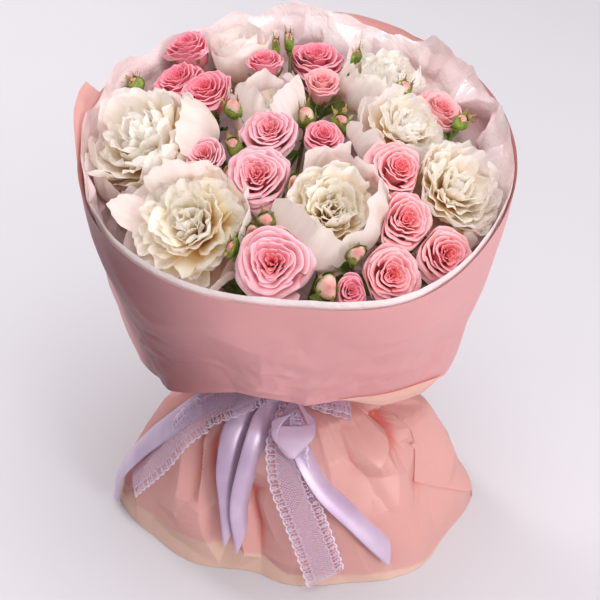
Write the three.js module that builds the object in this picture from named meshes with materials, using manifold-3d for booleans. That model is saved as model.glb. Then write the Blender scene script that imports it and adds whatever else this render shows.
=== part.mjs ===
// A hand-tied bunch of peonies and spray roses, wrapped in film over tissue and tied with ribbon.
// Millimetres, +Z up. The origin is on the ground, at the middle of the cut end of the middle stem.
// The bunch stands on its cut stem ends and on the flared film skirt; the front faces -Y.

import * as THREE from 'three';
import { mergeVertices } from 'three/addons/utils/BufferGeometryUtils.js';
import Module from 'manifold-3d';

const wasm = await Module();
wasm.setup();

// ---------------------------------------------------------------- driving dimensions

const GAP = 0.4;              // air kept between neighbouring pieces
const FILM = 1.0;             // film, tissue and gathered layers, thickness
const PETAL = 1.1;            // petal thickness
const RIBBON = 0.9;           // ribbon thickness
const BINDING_Z = 152;        // height of the tie round the stems
const FOCUS = new THREE.Vector3(0, 50, 0);   // every head faces away from this point
const APEX = new THREE.Vector3(0, 0, 142);   // the heads share the room above it as cones

// Plan radii every 30 degrees, anticlockwise from +X.
const RIM = [184, 186, 185, 186, 175, 182, 177, 173, 168, 165, 182, 181];
const FOLD = [148, 134, 112, 102, 110, 122, 132, 118, 95, 93, 104, 124];
const FOLD_Z = [178, 176, 178, 180, 178, 176, 175, 185, 195, 198, 197, 190];
const HEM = [166, 157, 136, 122, 132, 152, 166, 145, 120, 120, 138, 154];
const BELLY = 5;              // how far the collar bulges between rim and fold
const RIM_Z = 380;            // height of the rim over the middle
const RIM_RISE = 0.2;         // the rim plane climbs this much for each mm towards the back

// Neck radii, from the stems outwards.
const TIE_NECK = 16.4;
const TIE_DEPTH = 2.5;
const LINER_NECK = TIE_NECK + TIE_DEPTH + GAP;
const COLLAR_NECK = LINER_NECK + FILM + GAP;
const SKIRT_NECK = COLLAR_NECK + FILM + GAP;
const BAND_NECK = SKIRT_NECK + FILM + 2.5 * GAP;
const NECK_Z = 142;           // height where the films leave the neck

// Skirt section: height, and the share of the way from neck to hem.
const SKIRT_SECTION = [[152.5, 0], [NECK_Z, 0], [138, 0.38], [114, 0.64], [60, 0.85], [GAP, 1]];
const UNDERSKIRT_HEM_Z = 24;
const SKIRT_FOLDS = 8;
const SKIRT_COLS = 4 * SKIRT_FOLDS;
const FOLD_DEPTH = 3.5;

const PEONY_STEM = 3.7;       // stem radii
const SPRAY_STEM = 3.4;
const SIDE_STEM = 1.8;

const SATIN_WIDTH = 25;
const LACE_WIDTH = 38;

// Heads: name, x, y, z of the middle, half-width, and the form where it isn't the usual one.
const PEONIES = [
  ['peony_left', -123, 16, 386, 51, {}],
  ['peony_front_left', -82, -81, 368, 50, { turn: 40 }],
  ['peony_front', 32, -74, 377, 44, { turn: 20 }],
  ['peony_right', 131, -37, 372, 40, { turn: 75 }],
  ['peony_inner_right', 94, 18, 397, 36, { turn: 10 }],
  ['peony_back_right', 81, 92, 400, 40, { turn: 55 }],
  ['peony_back', -46, 122, 406, 33, { closed: true, turn: 30 }],
  ['peony_middle', -23, 47, 400, 36, { closed: true, turn: 65 }],
];

const ROSES = [
  ['rose_01', -90, 120, 414, 25, 0.3, 1],
  ['rose_02', -98, 89, 400, 27, 0, 1],
  ['rose_03', -73, 60, 404, 27, 0.2, 1],
  ['rose_04', -24, 93, 411, 19, 0.9, 2],
  ['rose_05', 19, 111, 407, 29, 0.2, 2],
  ['rose_06', 24, 65, 406, 20, 0.9, 2],
  ['rose_07', -19, 6, 399, 26, 0, 3],
  ['rose_08', -28, -42, 386, 29, 0, 3],
  ['rose_09', -71, -17, 389, 19, 0.2, 4],
  ['rose_10', 24, 0, 396, 18, 0.4, 3],
  ['rose_11', 122, 51, 387, 27, 0.6, 5],
  ['rose_12', 83, -34, 384, 27, 0.5, 6],
  ['rose_13', 87, -80, 368, 26, 0.3, 6],
  ['rose_14', 119, -96, 347, 26, 0.1, 7],
  ['rose_15', 75, -128, 351, 24, 0.1, 7],
  ['rose_16', -15, -123, 359, 32, 0, 4],
  ['rose_17', 44, -135, 341, 16, 0.5, 7],
];

const BUDS = [
  ['bud_01', -16, 109, 421, 9, 2],
  ['bud_02', -3, 110, 426, 9, 2],
  ['bud_03', 54, 112, 409, 10, 5],
  ['bud_04', 92, 60, 407, 9, 5],
  ['bud_05', 138, 31, 394, 8, 5],
  ['bud_06', -47, 35, 404, 10, 3],
  ['bud_07', 9, 25, 401, 10, 3],
  ['bud_08', 39, 18, 399, 9, 3],
  ['bud_09', -48, -9, 393, 9, 4],
  ['bud_10', -20, -87, 372, 9, 4],
  ['bud_11', -46, -110, 364, 8, 4],
  ['bud_12', 49, -113, 361, 9, 6],
  ['bud_13', -1, -49, 382, 9, 3],
  ['bud_14', -137, 96, 392, 8, 1],
  ['bud_15', 28, -142, 350, 11, 7],
  ['bud_16', -31, -96, 368, 8, 4],
];

// Leaves that show in the gaps: the head they grow under, azimuth in degrees, length, width.
const LEAVES = [
  ['bud_08', 100, 38, 18],
  ['bud_06', 200, 34, 16],
  ['bud_12', 60, 30, 15],
];

// Depth of each head's base under its middle, as a share of its half-width.
const BASE = { peony: 0.92, rose: 0.92, bud: 1.25 };

// ---------------------------------------------------------------- solids

const TAU = Math.PI * 2;
const radians = THREE.MathUtils.degToRad;
const point = (x, y, z) => new THREE.Vector3(x, y, z);
const polar = (radius, phi, z) => point(radius * Math.cos(phi), radius * Math.sin(phi), z);

// A value that runs smoothly round the circle through evenly spaced ones.
function around(values, phi) {
  const count = values.length;
  const place = ((((phi / TAU) % 1) + 1) % 1) * count;
  const start = Math.floor(place);
  const f = place - start;
  const [a, b, c, d] = [-1, 0, 1, 2].map((step) => values[(start + step + count) % count]);
  return b + 0.5 * f * (c - a + f * (2 * a - 5 * b + 4 * c - d + f * (3 * (b - c) + d - a)));
}

// A value read off a section of [key, value] pairs whose keys fall.
function along(section, key) {
  const last = section.findIndex(([k]) => k <= key);
  if (last <= 0) return section[last === 0 ? 0 : section.length - 1][1];
  const [[k0, v0], [k1, v1]] = [section[last - 1], section[last]];
  return THREE.MathUtils.mapLinear(key, k0, k1, v0, v1);
}

function grid(rows, cols, at) {
  return Array.from({ length: rows }, (_, row) =>
    Array.from({ length: cols }, (__, col) => at(row, col)));
}

function solidOf(points, faces) {
  const volume = faces.reduce((sum, [a, b, c]) =>
    sum + points[a].dot(point(0, 0, 0).crossVectors(points[b], points[c])), 0);
  const turned = volume < 0 ? faces.map(([a, b, c]) => [a, c, b]) : faces;
  return new wasm.Manifold(new wasm.Mesh({
    numProp: 3,
    vertProperties: new Float32Array(points.flatMap((p) => [p.x, p.y, p.z])),
    triVerts: new Uint32Array(turned.flat()),
  }));
}

// A sheet with thickness: two grids of points, face to face, closed along their edges.
function slab(front, back, ring = false) {
  const rows = front.length;
  const cols = front[0].length;
  const offset = rows * cols;
  const spans = ring ? cols : cols - 1;
  const at = (row, col) => row * cols + (col % cols);
  const faces = [];
  const edge = (p, q) => faces.push([q, p, offset + p], [q, offset + p, offset + q]);
  for (let row = 0; row < rows - 1; row += 1) {
    for (let col = 0; col < spans; col += 1) {
      const [a, b] = [at(row, col), at(row, col + 1)];
      const [c, d] = [at(row + 1, col + 1), at(row + 1, col)];
      faces.push([a, b, c], [a, c, d]);
      faces.push([offset + a, offset + c, offset + b], [offset + a, offset + d, offset + c]);
    }
  }
  for (let col = 0; col < spans; col += 1) {
    edge(at(0, col), at(0, col + 1));
    edge(at(rows - 1, col + 1), at(rows - 1, col));
  }
  for (let row = 0; !ring && row < rows - 1; row += 1) {
    edge(at(row + 1, 0), at(row, 0));
    edge(at(row, cols - 1), at(row + 1, cols - 1));
  }
  return solidOf([...front.flat(), ...back.flat()], faces);
}

// A round lump: rings of points from the bottom pole to the top pole.
function lump(rings, bottom, top) {
  const sides = rings[0].length;
  const points = [...rings.flat(), bottom, top];
  const [low, high] = [points.length - 2, points.length - 1];
  const faces = [];
  for (let i = 0; i < sides; i += 1) {
    const next = (i + 1) % sides;
    faces.push([low, next, i], [high, (rings.length - 1) * sides + i, (rings.length - 1) * sides + next]);
    for (let row = 0; row < rings.length - 1; row += 1) {
      const [a, b] = [row * sides + i, row * sides + next];
      faces.push([a, b, b + sides], [a, b + sides, a + sides]);
    }
  }
  return solidOf(points, faces);
}

function solidOfGeometry(geometry) {
  geometry.deleteAttribute('normal');
  geometry.deleteAttribute('uv');
  const merged = mergeVertices(geometry, 1e-3);
  return new wasm.Manifold(new wasm.Mesh({
    numProp: 3,
    vertProperties: merged.attributes.position.array,
    triVerts: new Uint32Array(merged.index.array),
  }));
}

const join = (solids) => wasm.Manifold.union(solids);

function largestPiece(solid) {
  return solid.decompose().reduce((best, part) => (part.volume() > best.volume() ? part : best));
}

// A rod of flat-sided section through a few points.
function rod(points, radius, sides) {
  const rings = points.map((p, i) => {
    const run = points[Math.min(i + 1, points.length - 1)].clone().sub(points[Math.max(i - 1, 0)]).normalize();
    const across = point(0, 0, 0).crossVectors(run, point(1, 0, 0)).normalize();
    const up = point(0, 0, 0).crossVectors(run, across);
    return Array.from({ length: sides }, (_, j) => p.clone()
      .addScaledVector(across, radius * Math.cos((TAU * j) / sides))
      .addScaledVector(up, radius * Math.sin((TAU * j) / sides)));
  });
  return lump(rings, points[0], points[points.length - 1]);
}

const bunch = new THREE.Group();

function addPiece(name, solid, look, frame = new THREE.Matrix4()) {
  const mesh = solid.getMesh();
  const geometry = new THREE.BufferGeometry();
  geometry.setAttribute('position', new THREE.BufferAttribute(mesh.vertProperties.slice(), 3));
  geometry.setIndex(new THREE.BufferAttribute(mesh.triVerts.slice(), 1));
  geometry.applyMatrix4(frame.clone().invert());
  const [color, roughness] = look;
  const piece = new THREE.Mesh(geometry, new THREE.MeshStandardMaterial({ color, roughness, metalness: 0 }));
  piece.name = name;
  piece.applyMatrix4(frame);
  bunch.add(piece);
}

const LOOKS = {
  cream: [0xf3efe4, 0.6],
  coral: [0xe98a93, 0.55],
  paleCoral: [0xefa9ac, 0.55],
  green: [0x6d8b3a, 0.6],
  stem: [0x5d7a35, 0.6],
  twine: [0xb99b6a, 0.9],
  tissue: [0xf2e6e6, 0.45],
  collar: [0xd29295, 0.5],
  salmon: [0xeaa596, 0.45],
  satin: [0xb9aac8, 0.3],
  lace: [0xc9b8d2, 0.8],
};

// ---------------------------------------------------------------- heads

// The frame of a head: its middle at the origin, +Z out of the bunch.
function headFrame(x, y, z, turn = 0) {
  const middle = point(x, y, z);
  const facing = middle.clone().sub(FOCUS).normalize();
  const tilt = new THREE.Quaternion().setFromUnitVectors(point(0, 0, 1), facing);
  const spin = new THREE.Quaternion().setFromAxisAngle(point(0, 0, 1), radians(turn));
  return new THREE.Matrix4().compose(middle, tilt.multiply(spin), point(1, 1, 1));
}

// One petal: rooted at a radius and height on the head's axis, leaning out by lean and bending by bend.
function petal(frame, {
  root, height, angle, length, width, lean, bend, cup, ragged = 0, rows = 3, cols = 4, thick = PETAL,
}) {
  const place = frame.clone().multiply(new THREE.Matrix4().makeRotationZ(angle));
  const face = (side) => grid(rows, cols, (row, col) => {
    const v = row / (rows - 1);
    const u = (2 * col) / (cols - 1) - 1;
    const slope = lean + bend * v;
    const notch = row === rows - 1 ? ragged * length * (col % 2 ? -1 : 1) : 0;
    const half = (width / 2) * (0.4 + 0.6 * Math.sin(Math.min(1, 1.3 * v) * (Math.PI / 2)));
    const reach = (length * (Math.cos(lean) - Math.cos(slope))) / bend + notch * Math.sin(slope);
    const rise = (length * (Math.sin(slope) - Math.sin(lean))) / bend + notch * Math.cos(slope);
    const depth = (side * thick) / 2 - cup * half * u * u;
    return point(
      root + reach + depth * Math.cos(slope),
      half * u,
      height + rise - depth * Math.sin(slope),
    ).applyMatrix4(place);
  });
  return slab(face(1), face(-1));
}

// Petals raised from a round body: each ring of the section is given from the foot to the heart as
// radius and height in shares of the half-width, the petals that its edge shows, and how far they
// stand out of it; every lip stands over the groove inside it.
function relief(frame, r, section, sides, { top, closing = 0, ragged = 0 }) {
  const rings = section.map(([radius, height, petals, stand], row) => Array.from({ length: sides }, (_, i) => {
    const phi = (TAU * i) / sides;
    const lobe = petals ? stand * (Math.abs(Math.sin((petals * phi) / 2 + 1.3 * row)) - 0.5) : 0;
    const fray = petals ? ragged * Math.sin(11.3 * i + 4.1 * row) : 0;
    const shut = closing * radius;
    return polar(
      radius * r * (1 + lobe + fray) * (1 - 0.16 * shut),
      phi,
      r * (height + 0.5 * lobe + fray + (height > -0.5 ? 0.34 * shut : 0)),
    ).applyMatrix4(frame);
  }));
  const pole = (height) => point(0, 0, height * r).applyMatrix4(frame);
  return lump(rings, pole(section[0][1]), pole(top));
}

// A double peony: a heart of ragged petals in three layers, in a bowl of broad guard petals.
const PEONY_HEART = [
  [0.16, -0.92, 0, 0], [0.56, -0.62, 0, 0], [0.82, -0.12, 7, 0.1], [0.86, 0.24, 7, 0.16],
  [0.68, 0.02, 0, 0], [0.62, 0.5, 6, 0.16], [0.44, 0.24, 0, 0], [0.36, 0.68, 5, 0.2], [0.16, 0.4, 0, 0],
];
const CLOSED_HEART = [[0.16, -0.92, 0, 0], [0.5, -0.62, 0, 0], [0.62, 0.1, 5, 0.1], [0.36, 0.6, 5, 0.2]];

function peony(frame, r, { closed = false }) {
  const guards = closed ? 3 : 4;
  const heart = closed
    ? relief(frame, r, CLOSED_HEART, 10, { top: 0.66 })
    : relief(frame, r, PEONY_HEART, 12, { top: 0.62, ragged: 0.07 });
  const parts = [heart];
  for (let i = 0; i < guards; i += 1) {
    parts.push(petal(frame, {
      root: (closed ? 0.2 : 0.3) * r,
      height: (i % 2 ? -0.78 : -0.72) * r,
      angle: (TAU * i) / guards,
      length: (closed ? 1.75 : 1.35) * r,
      width: (closed ? 1.25 : 1.15) * r,
      lean: closed ? 0.8 : 1.25,
      bend: closed ? -1.05 : -1.3,
      cup: 0.3,
      ragged: 0.03,
      rows: 4,
    }));
  }
  return join(parts);
}

const ROSE_SECTION = [
  [0.15, -0.92, 0, 0], [0.8, -0.36, 5, 0.16], [1.02, 0.12, 5, 0.16], [0.8, -0.08, 0, 0], [0.7, 0.3, 5, 0.16],
  [0.52, 0.06, 0, 0], [0.46, 0.4, 4, 0.16], [0.28, 0.14, 0, 0], [0.18, 0.44, 3, 0.16],
];
const ROSE_SIDES = 11;
const SMALL_ROSE_SIDES = 10;
const SMALL_ROSE = 20;        // half-width of the largest rose that is small

function rose(frame, r, closing) {
  return relief(frame, r, ROSE_SECTION, r > SMALL_ROSE ? ROSE_SIDES : SMALL_ROSE_SIDES, { top: 0.3, closing });
}

// A rose bud: an egg under five sepals whose tips stand off round its point.
const BUD_SECTION = [[0.3, -1.25, 0, 0], [1.0, -0.2, 5, 0.24], [0.55, 1.1, 5, 0.9]];

function bud(frame, r) {
  return relief(frame, r, BUD_SECTION, 10, { top: 1.05 });
}

// A toothed leaf that springs from a head's stem under its base.
function leaf(head, angle, length, width, swell) {
  return petal(head.frame, {
    root: -1.5,
    height: -BASE[head.kind] * head.r - 4,
    angle: radians(angle),
    length: length + swell,
    width: width + 2 * swell,
    lean: 0.75,
    bend: 0.35,
    cup: 0.2,
    ragged: 0.05,
    rows: 4,
    cols: 3,
    thick: PETAL + 2 * swell,
  });
}

// ---------------------------------------------------------------- wrap

const rimPoint = (phi, inset, lift) => {
  const radius = around(RIM, phi) - inset;
  return polar(radius, phi, RIM_Z + RIM_RISE * radius * Math.sin(phi) + lift);
};

// The collar's section at one azimuth, from the rim down and under to the neck.
function collarLine(phi) {
  const rim = rimPoint(phi, 0, 0);
  const [radius, z] = [around(FOLD, phi), around(FOLD_Z, phi)];
  const fold = polar(radius, phi, z);
  const belly = rim.clone().lerp(fold, 0.55).add(polar(BELLY, phi, 0));
  const lip = polar(radius * 0.93, phi, z - 4);
  const under = polar(radius * 0.42, phi, NECK_Z + 30);
  const neck = polar(COLLAR_NECK + FILM, phi, NECK_Z + 11);
  const foot = polar(COLLAR_NECK + FILM, phi, NECK_Z);
  return [rim, belly, fold, lip, under, neck, foot];
}

// Moves a section's points to its right-hand side, seen from below, by a distance.
function inset(line, phi, distance) {
  const out = polar(1, phi, 0);
  return line.map((p, i) => {
    const before = line[Math.max(0, i - 1)];
    const after = line[Math.min(line.length - 1, i + 1)];
    const run = after.clone().sub(before);
    const side = point(0, 0, 0).addScaledVector(out, run.z).add(point(0, 0, -run.dot(out))).normalize();
    return p.clone().addScaledVector(side, distance);
  });
}

// A sleeve of film from one section line per azimuth, with its thickness inwards; it runs all
// the way round, or from one column over a few.
const WRAP_COLS = 24;
const FIRST_COL = radians(6);

function sleeve(lineAt, cols, { first = 0, span = cols, start = 0 } = {}) {
  const phis = Array.from({ length: span }, (_, i) => start + (TAU * (first + i)) / cols);
  const lines = phis.map((phi) => lineAt(phi));
  const inner = lines.map((line, i) => inset(line, phis[i], FILM));
  const rowsOf = (set) => set[0].map((_, row) => set.map((line) => line[row]));
  return slab(rowsOf(lines), rowsOf(inner), span === cols);
}

// The tissue's section: close inside the collar at the rim, then straight in to the neck.
function linerLine(phi) {
  const start = 2 * (FILM + GAP);
  const rim = rimPoint(phi, start, 7);
  const fold = polar(around(FOLD, phi) - start, phi, around(FOLD_Z, phi));
  const shoulder = rimPoint(phi, start, 0).lerp(fold, 0.3);
  const neck = polar(LINER_NECK + FILM, phi, NECK_Z + 11);
  const foot = polar(LINER_NECK + FILM, phi, NECK_Z);
  return [rim, shoulder, neck, foot];
}

// The back sheet stands between collar and tissue, with four corners above the rim: azimuth in
// degrees, height above the rim and flare outwards.
const BACK_SHEET = { first: -2, span: 16, start: FIRST_COL };
const CORNERS = [[156, 16, 24], [96, 7, 2], [51, 9, 4], [6, 5, 3]];
const CORNER_REACH = radians(17);

function backLine(phi) {
  const start = FILM + GAP;
  const near = (deg) => Math.max(0, 1 - Math.abs(phi - radians(deg)) / CORNER_REACH);
  const lift = CORNERS.reduce((sum, [deg, rise]) => sum + rise * near(deg), 2);
  const flare = CORNERS.reduce((sum, [deg, , out]) => sum + out * near(deg), 0);
  const top = rimPoint(phi, start, lift).add(polar(flare, phi, 0));
  return [top, ...inset(collarLine(phi), phi, start).slice(0, 2)];
}

const hemRadius = (phi) => around(HEM, phi) + FOLD_DEPTH * Math.cos(SKIRT_FOLDS * phi);

// Radius of the skirt's outer face at a height.
function skirtRadius(phi, z) {
  const neck = SKIRT_NECK + FILM;
  return neck + (hemRadius(phi) - neck) * along(SKIRT_SECTION, z);
}

const skirtLine = (phi, tops = SKIRT_SECTION.map(([z]) => z)) => tops.map((z) => polar(skirtRadius(phi, z), phi, z));

function underskirtLine(phi) {
  const heights = [NECK_Z, SKIRT_SECTION[3][0], UNDERSKIRT_HEM_Z];
  return inset(skirtLine(phi, heights), phi, FILM + GAP);
}

// ---------------------------------------------------------------- ribbons

// Knots at the front of the neck: middle, then half-sizes; the lace is tied over the satin.
const SATIN_KNOT = [[0, -32, 147], [10, 8, 4.6]];
const LACE_KNOT = [[4, -32.5, 155.2], [9, 8, 3.1]];

// Tails on the skirt, from the knot down: azimuth in degrees, height, and clearance over the skirt.
const SATIN_TAILS = [
  [[226, 140, 7], [229, 129, 7], [233, 100, 7], [235, 68, 6], [239, 38, 6]],
  [[246, 140, 7], [245, 128, 8], [242, 95, 8], [241, 57, 7], [243, 35, 6]],
  [[272, 139, 6], [277, 122, 6], [286, 95, 6], [297, 67, 6], [305, 38, 6], [310, 21, 5]],
  [[214, 140, 7], [199, 134, 7], [194, 104, 7], [188, 70, 8], [185, 36, 11], [186, 6, 8]],
];
const LACE_TAILS = [
  [[234, 140, 14], [214, 137, 13], [206, 116, 12], [201, 86, 11], [193, 43, 10]],
  [[268, 140, 14], [266, 128, 12], [268, 106, 10], [274, 76, 9], [279, 46, 9], [283, 12, 8]],
];
const TAIL_STEPS = 7;

// A point over the skirt's outer face, by its azimuth in degrees, height and clearance.
function overSkirt([deg, z, clear]) {
  const phi = radians(deg);
  const slope = (skirtRadius(phi, z - 1) - skirtRadius(phi, z + 1)) / 2;
  return polar(skirtRadius(phi, z), phi, z).addScaledVector(polar(1, phi, slope).normalize(), clear);
}

function tail([middle], route, width, thickness) {
  const path = new THREE.CatmullRomCurve3([point(...middle), ...route.map(overSkirt)]);
  const face = (side) => grid(TAIL_STEPS, 2, (row, col) => {
    const s = row / (TAIL_STEPS - 1);
    const p = path.getPoint(s);
    const slope = p.z > SKIRT_SECTION[2][0] ? 3 : 0.5;
    const out = polar(1, Math.atan2(p.y, p.x), slope).normalize();
    const across = point(0, 0, 0).crossVectors(path.getTangent(s), out).normalize();
    const normal = point(0, 0, 0).crossVectors(across, path.getTangent(s)).normalize();
    const half = (width / 2) * Math.min(1, 0.3 + 2.5 * s) * (2 * col - 1);
    return p.addScaledVector(across, half).addScaledVector(normal, (side * thickness) / 2);
  });
  return slab(face(1), face(-1));
}

// A hanging loop: a ring of ribbon along a way over the skirt, puffed open.
const SATIN_LOOP = { route: [[273, 140, 13], [276, 128, 13], [276, 116, 12]], puff: 8 };
const LACE_LOOP = { route: [[300, 140.5, 12], [322, 139.5, 9]], puff: 3 };
const LOOP_SIDES = 8;

function loop([middle], { route, puff }, width, thickness) {
  const path = new THREE.CatmullRomCurve3([point(...middle), ...route.map(overSkirt)]);
  const rim = (grow, side) => Array.from({ length: LOOP_SIDES }, (_, i) => {
    const phi = (TAU * i) / LOOP_SIDES;
    const s = (1 - Math.cos(phi)) / 2;
    const p = path.getPoint(s);
    const run = path.getTangent(s);
    const across = point(0, 0, 0).crossVectors(run, polar(1, Math.atan2(p.y, p.x), 2)).normalize();
    const lift = point(0, 0, 0).crossVectors(across, run).normalize();
    return p
      .addScaledVector(run, -grow * Math.cos(phi))
      .addScaledVector(lift, (puff + grow) * Math.sin(phi))
      .addScaledVector(across, (side * width * (0.65 - 0.35 * Math.cos(phi))) / 2);
  });
  const sides = (grow) => [rim(grow, -1), rim(grow, 1)];
  return slab(sides(thickness / 2), sides(-thickness / 2), true);
}

function knot([middle, half], swell) {
  const sides = 8;
  const ring = (share, z) => Array.from({ length: sides }, (_, i) => point(
    middle[0] + (half[0] + swell) * share * Math.cos((TAU * i) / sides),
    middle[1] + (half[1] + swell) * share * Math.sin((TAU * i) / sides),
    middle[2] + (half[2] + swell) * z,
  ));
  const end = (z) => point(middle[0], middle[1], middle[2] + (half[2] + swell) * z);
  return lump([ring(0.7, -1), ring(1, -0.4), ring(1, 0.4), ring(0.7, 1)], end(-1), end(1));
}

function band(radius, low, high, thickness) {
  const profile = [[radius, low], [radius + thickness, low], [radius + thickness, high], [radius, high], [radius, low]];
  return solidOfGeometry(new THREE.LatheGeometry(profile.map(([x, y]) => new THREE.Vector2(x, y)), 14)
    .rotateX(Math.PI / 2));
}

// ---------------------------------------------------------------- stems

// A main stem runs straight from its head past the binding point to its cut end on the far side:
// its bend at the head, its place in the binding and its cut end.
const CUT_RING = 42;
const INNER_LAP = 6;
const OUTER_LAP = 10.2;

const stemTop = (head) => head.foot.clone().addScaledVector(head.facing, -GAP);
const stemKnee = (head) => head.foot.clone().addScaledVector(head.facing, -12);

function stemPoints(head, rank, count) {
  const below = -2;
  const turn = (TAU * rank) / count - Math.PI / 2;
  const low = head === middleHead
    ? [point(0, 0, below), point(0, 0, BINDING_Z)]
    : [polar(CUT_RING, turn + Math.PI / 2, below), polar(rank % 2 ? INNER_LAP : OUTER_LAP, turn, BINDING_Z)];
  return [...low, stemKnee(head), stemTop(head)];
}

// ---------------------------------------------------------------- the bunch

const heads = [
  ...PEONIES.map(([name, x, y, z, r, form]) => ({ name, kind: 'peony', x, y, z, r, form, spray: null })),
  ...ROSES.map(([name, x, y, z, r, closing, spray]) => ({ name, kind: 'rose', x, y, z, r, closing, spray })),
  ...BUDS.map(([name, x, y, z, r, spray]) => ({ name, kind: 'bud', x, y, z, r, spray })),
];

heads.forEach((head) => {
  head.frame = headFrame(head.x, head.y, head.z, head.form ? head.form.turn : 17 * head.x);
  head.middle = point(head.x, head.y, head.z);
  head.facing = head.middle.clone().sub(FOCUS).normalize();
  head.foot = head.middle.clone().addScaledVector(head.facing, -BASE[head.kind] * head.r);
  if (head.kind === 'peony') head.solid = peony(head.frame, head.r, head.form);
  if (head.kind === 'rose') head.solid = rose(head.frame, head.r, head.closing);
  if (head.kind === 'bud') head.solid = bud(head.frame, head.r);
});

// Neighbouring heads press on each other: each is cut back to its own side of the plane
// between them, which leans so that it holds the binding point and the stems stay clear.
heads.forEach((one, index) => heads.slice(index + 1).forEach((other) => {
  const between = other.middle.clone().sub(one.middle);
  const distance = between.length();
  if (distance > 1.15 * (one.r + other.r)) return;
  const share = 0.5 + (one.r ** 2 - other.r ** 2) / (2 * distance ** 2);
  const meeting = one.middle.clone().addScaledVector(between, THREE.MathUtils.clamp(share, 0.1, 0.9));
  const ray = meeting.clone().sub(APEX).normalize();
  const normal = between.clone().addScaledVector(ray, -between.dot(ray));
  const across = normal.length() > 0.35 * distance ? normal.normalize() : between.normalize();
  const offset = across.dot(meeting);
  one.solid = one.solid.trimByPlane(across.clone().negate().toArray(), -(offset - GAP / 2));
  other.solid = other.solid.trimByPlane(across.toArray(), offset + GAP / 2);
}));

// The room inside the tissue, open upwards.
const room = (() => {
  const lines = Array.from({ length: WRAP_COLS }, (_, i) => {
    const phi = FIRST_COL + (TAU * i) / WRAP_COLS;
    const line = inset(linerLine(phi), phi, FILM + GAP);
    return [line[0].clone().add(polar(6, phi, 90)), ...line];
  });
  const rows = lines[0].map((_, row) => lines.map((line) => line[row]));
  return lump(rows, point(0, 0, 500), point(0, 0, NECK_Z));
})();

heads.forEach((head) => { head.solid = head.solid.intersect(room); });

// Stems: one for each peony and one for each spray, whose own stem ends in its first rose and
// sends side stems to the rest. The middle one stands upright, the others follow round it.
const middleHead = heads.find((head) => head.name === 'peony_middle');
const sprays = [...new Set(heads.map((head) => head.spray).filter((spray) => spray))];
const azimuth = (head) => Math.atan2(head.y, head.x);
const mains = [
  ...heads.filter((head) => head.kind === 'peony' && head !== middleHead),
  ...sprays.map((spray) => heads.find((head) => head.spray === spray)),
].sort((one, other) => azimuth(one) - azimuth(other));

function stemSolids(swell) {
  const rods = [middleHead, ...mains].flatMap((main, order) => {
    const points = stemPoints(main, order - 1, mains.length);
    const others = heads.filter((head) => head.spray && head.spray === main.spray && head !== main);
    const sides = others.map((head, i) => {
      const leave = points[1].clone().lerp(points[2], 0.8 - (0.5 * i) / others.length);
      return rod([leave, stemKnee(head), stemTop(head)], SIDE_STEM + swell, 3);
    });
    return [rod(points, (main.spray ? SPRAY_STEM : PEONY_STEM) + swell, 4), ...sides];
  });
  const leaves = LEAVES.map(([name, ...form]) => leaf(heads.find((head) => head.name === name), ...form, swell));
  return join([...rods, ...leaves]).trimByPlane([0, 0, 1], 0);
}

const stems = largestPiece(stemSolids(0));
const stemRoom = stemSolids(GAP);
const clearOf = (solid, other) => (solid.intersect(other).isEmpty() ? solid : largestPiece(solid.subtract(other)));
heads.forEach((head) => { head.solid = largestPiece(clearOf(head.solid, stemRoom)); });

// The skirt's outer face with air over it, for the ribbons that lie on it.
const skirtRoom = (() => {
  const rows = SKIRT_SECTION.map(([z]) => Array.from({ length: SKIRT_COLS }, (_, i) => {
    const phi = (TAU * i) / SKIRT_COLS;
    return polar(skirtRadius(phi, z) + GAP / 2, phi, z + GAP / 2);
  }));
  return lump(rows, point(0, 0, SKIRT_SECTION[0][0] + GAP / 2), point(0, 0, GAP));
})();

function satinSolid(swell) {
  const [width, thickness] = [SATIN_WIDTH + 2 * swell, RIBBON + 2 * swell];
  return join([
    band(BAND_NECK - swell, NECK_Z + 0.6 - swell, NECK_Z + 9.4 + swell, thickness),
    knot(SATIN_KNOT, swell),
    loop(SATIN_KNOT, SATIN_LOOP, width, thickness),
    ...SATIN_TAILS.map((route) => tail(SATIN_KNOT, route, width, thickness)),
  ]);
}

function laceSolid() {
  return join([
    band(BAND_NECK, NECK_Z + 10, NECK_Z + 13, RIBBON),
    knot(LACE_KNOT, 0),
    loop(LACE_KNOT, LACE_LOOP, LACE_WIDTH, RIBBON),
    ...LACE_TAILS.map((route) => tail(LACE_KNOT, route, LACE_WIDTH, RIBBON)),
  ]);
}

heads.forEach((head) => {
  const looks = { peony: LOOKS.cream, rose: head.r > SMALL_ROSE ? LOOKS.coral : LOOKS.paleCoral, bud: LOOKS.green };
  addPiece(head.name, head.solid, looks[head.kind], head.frame);
});
addPiece('stems', stems, LOOKS.stem);
addPiece('stem_tie', clearOf(band(TIE_NECK, BINDING_Z - 6, BINDING_Z + 6, TIE_DEPTH), stemRoom), LOOKS.twine);
addPiece('tissue_liner', sleeve(linerLine, WRAP_COLS, { start: FIRST_COL }), LOOKS.tissue);
addPiece('film_collar', sleeve(collarLine, WRAP_COLS, { start: FIRST_COL }), LOOKS.collar);
addPiece('film_back_sheet', sleeve(backLine, WRAP_COLS, BACK_SHEET), LOOKS.salmon);
addPiece('film_skirt', sleeve((phi) => skirtLine(phi), SKIRT_COLS), LOOKS.salmon);
addPiece('film_underskirt', sleeve(underskirtLine, SKIRT_COLS), LOOKS.salmon);
addPiece('satin_ribbon', clearOf(satinSolid(0), skirtRoom), LOOKS.satin);
addPiece('lace_ribbon', clearOf(clearOf(laceSolid(), skirtRoom), satinSolid(GAP)), LOOKS.lace);

export default bunch;
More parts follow.
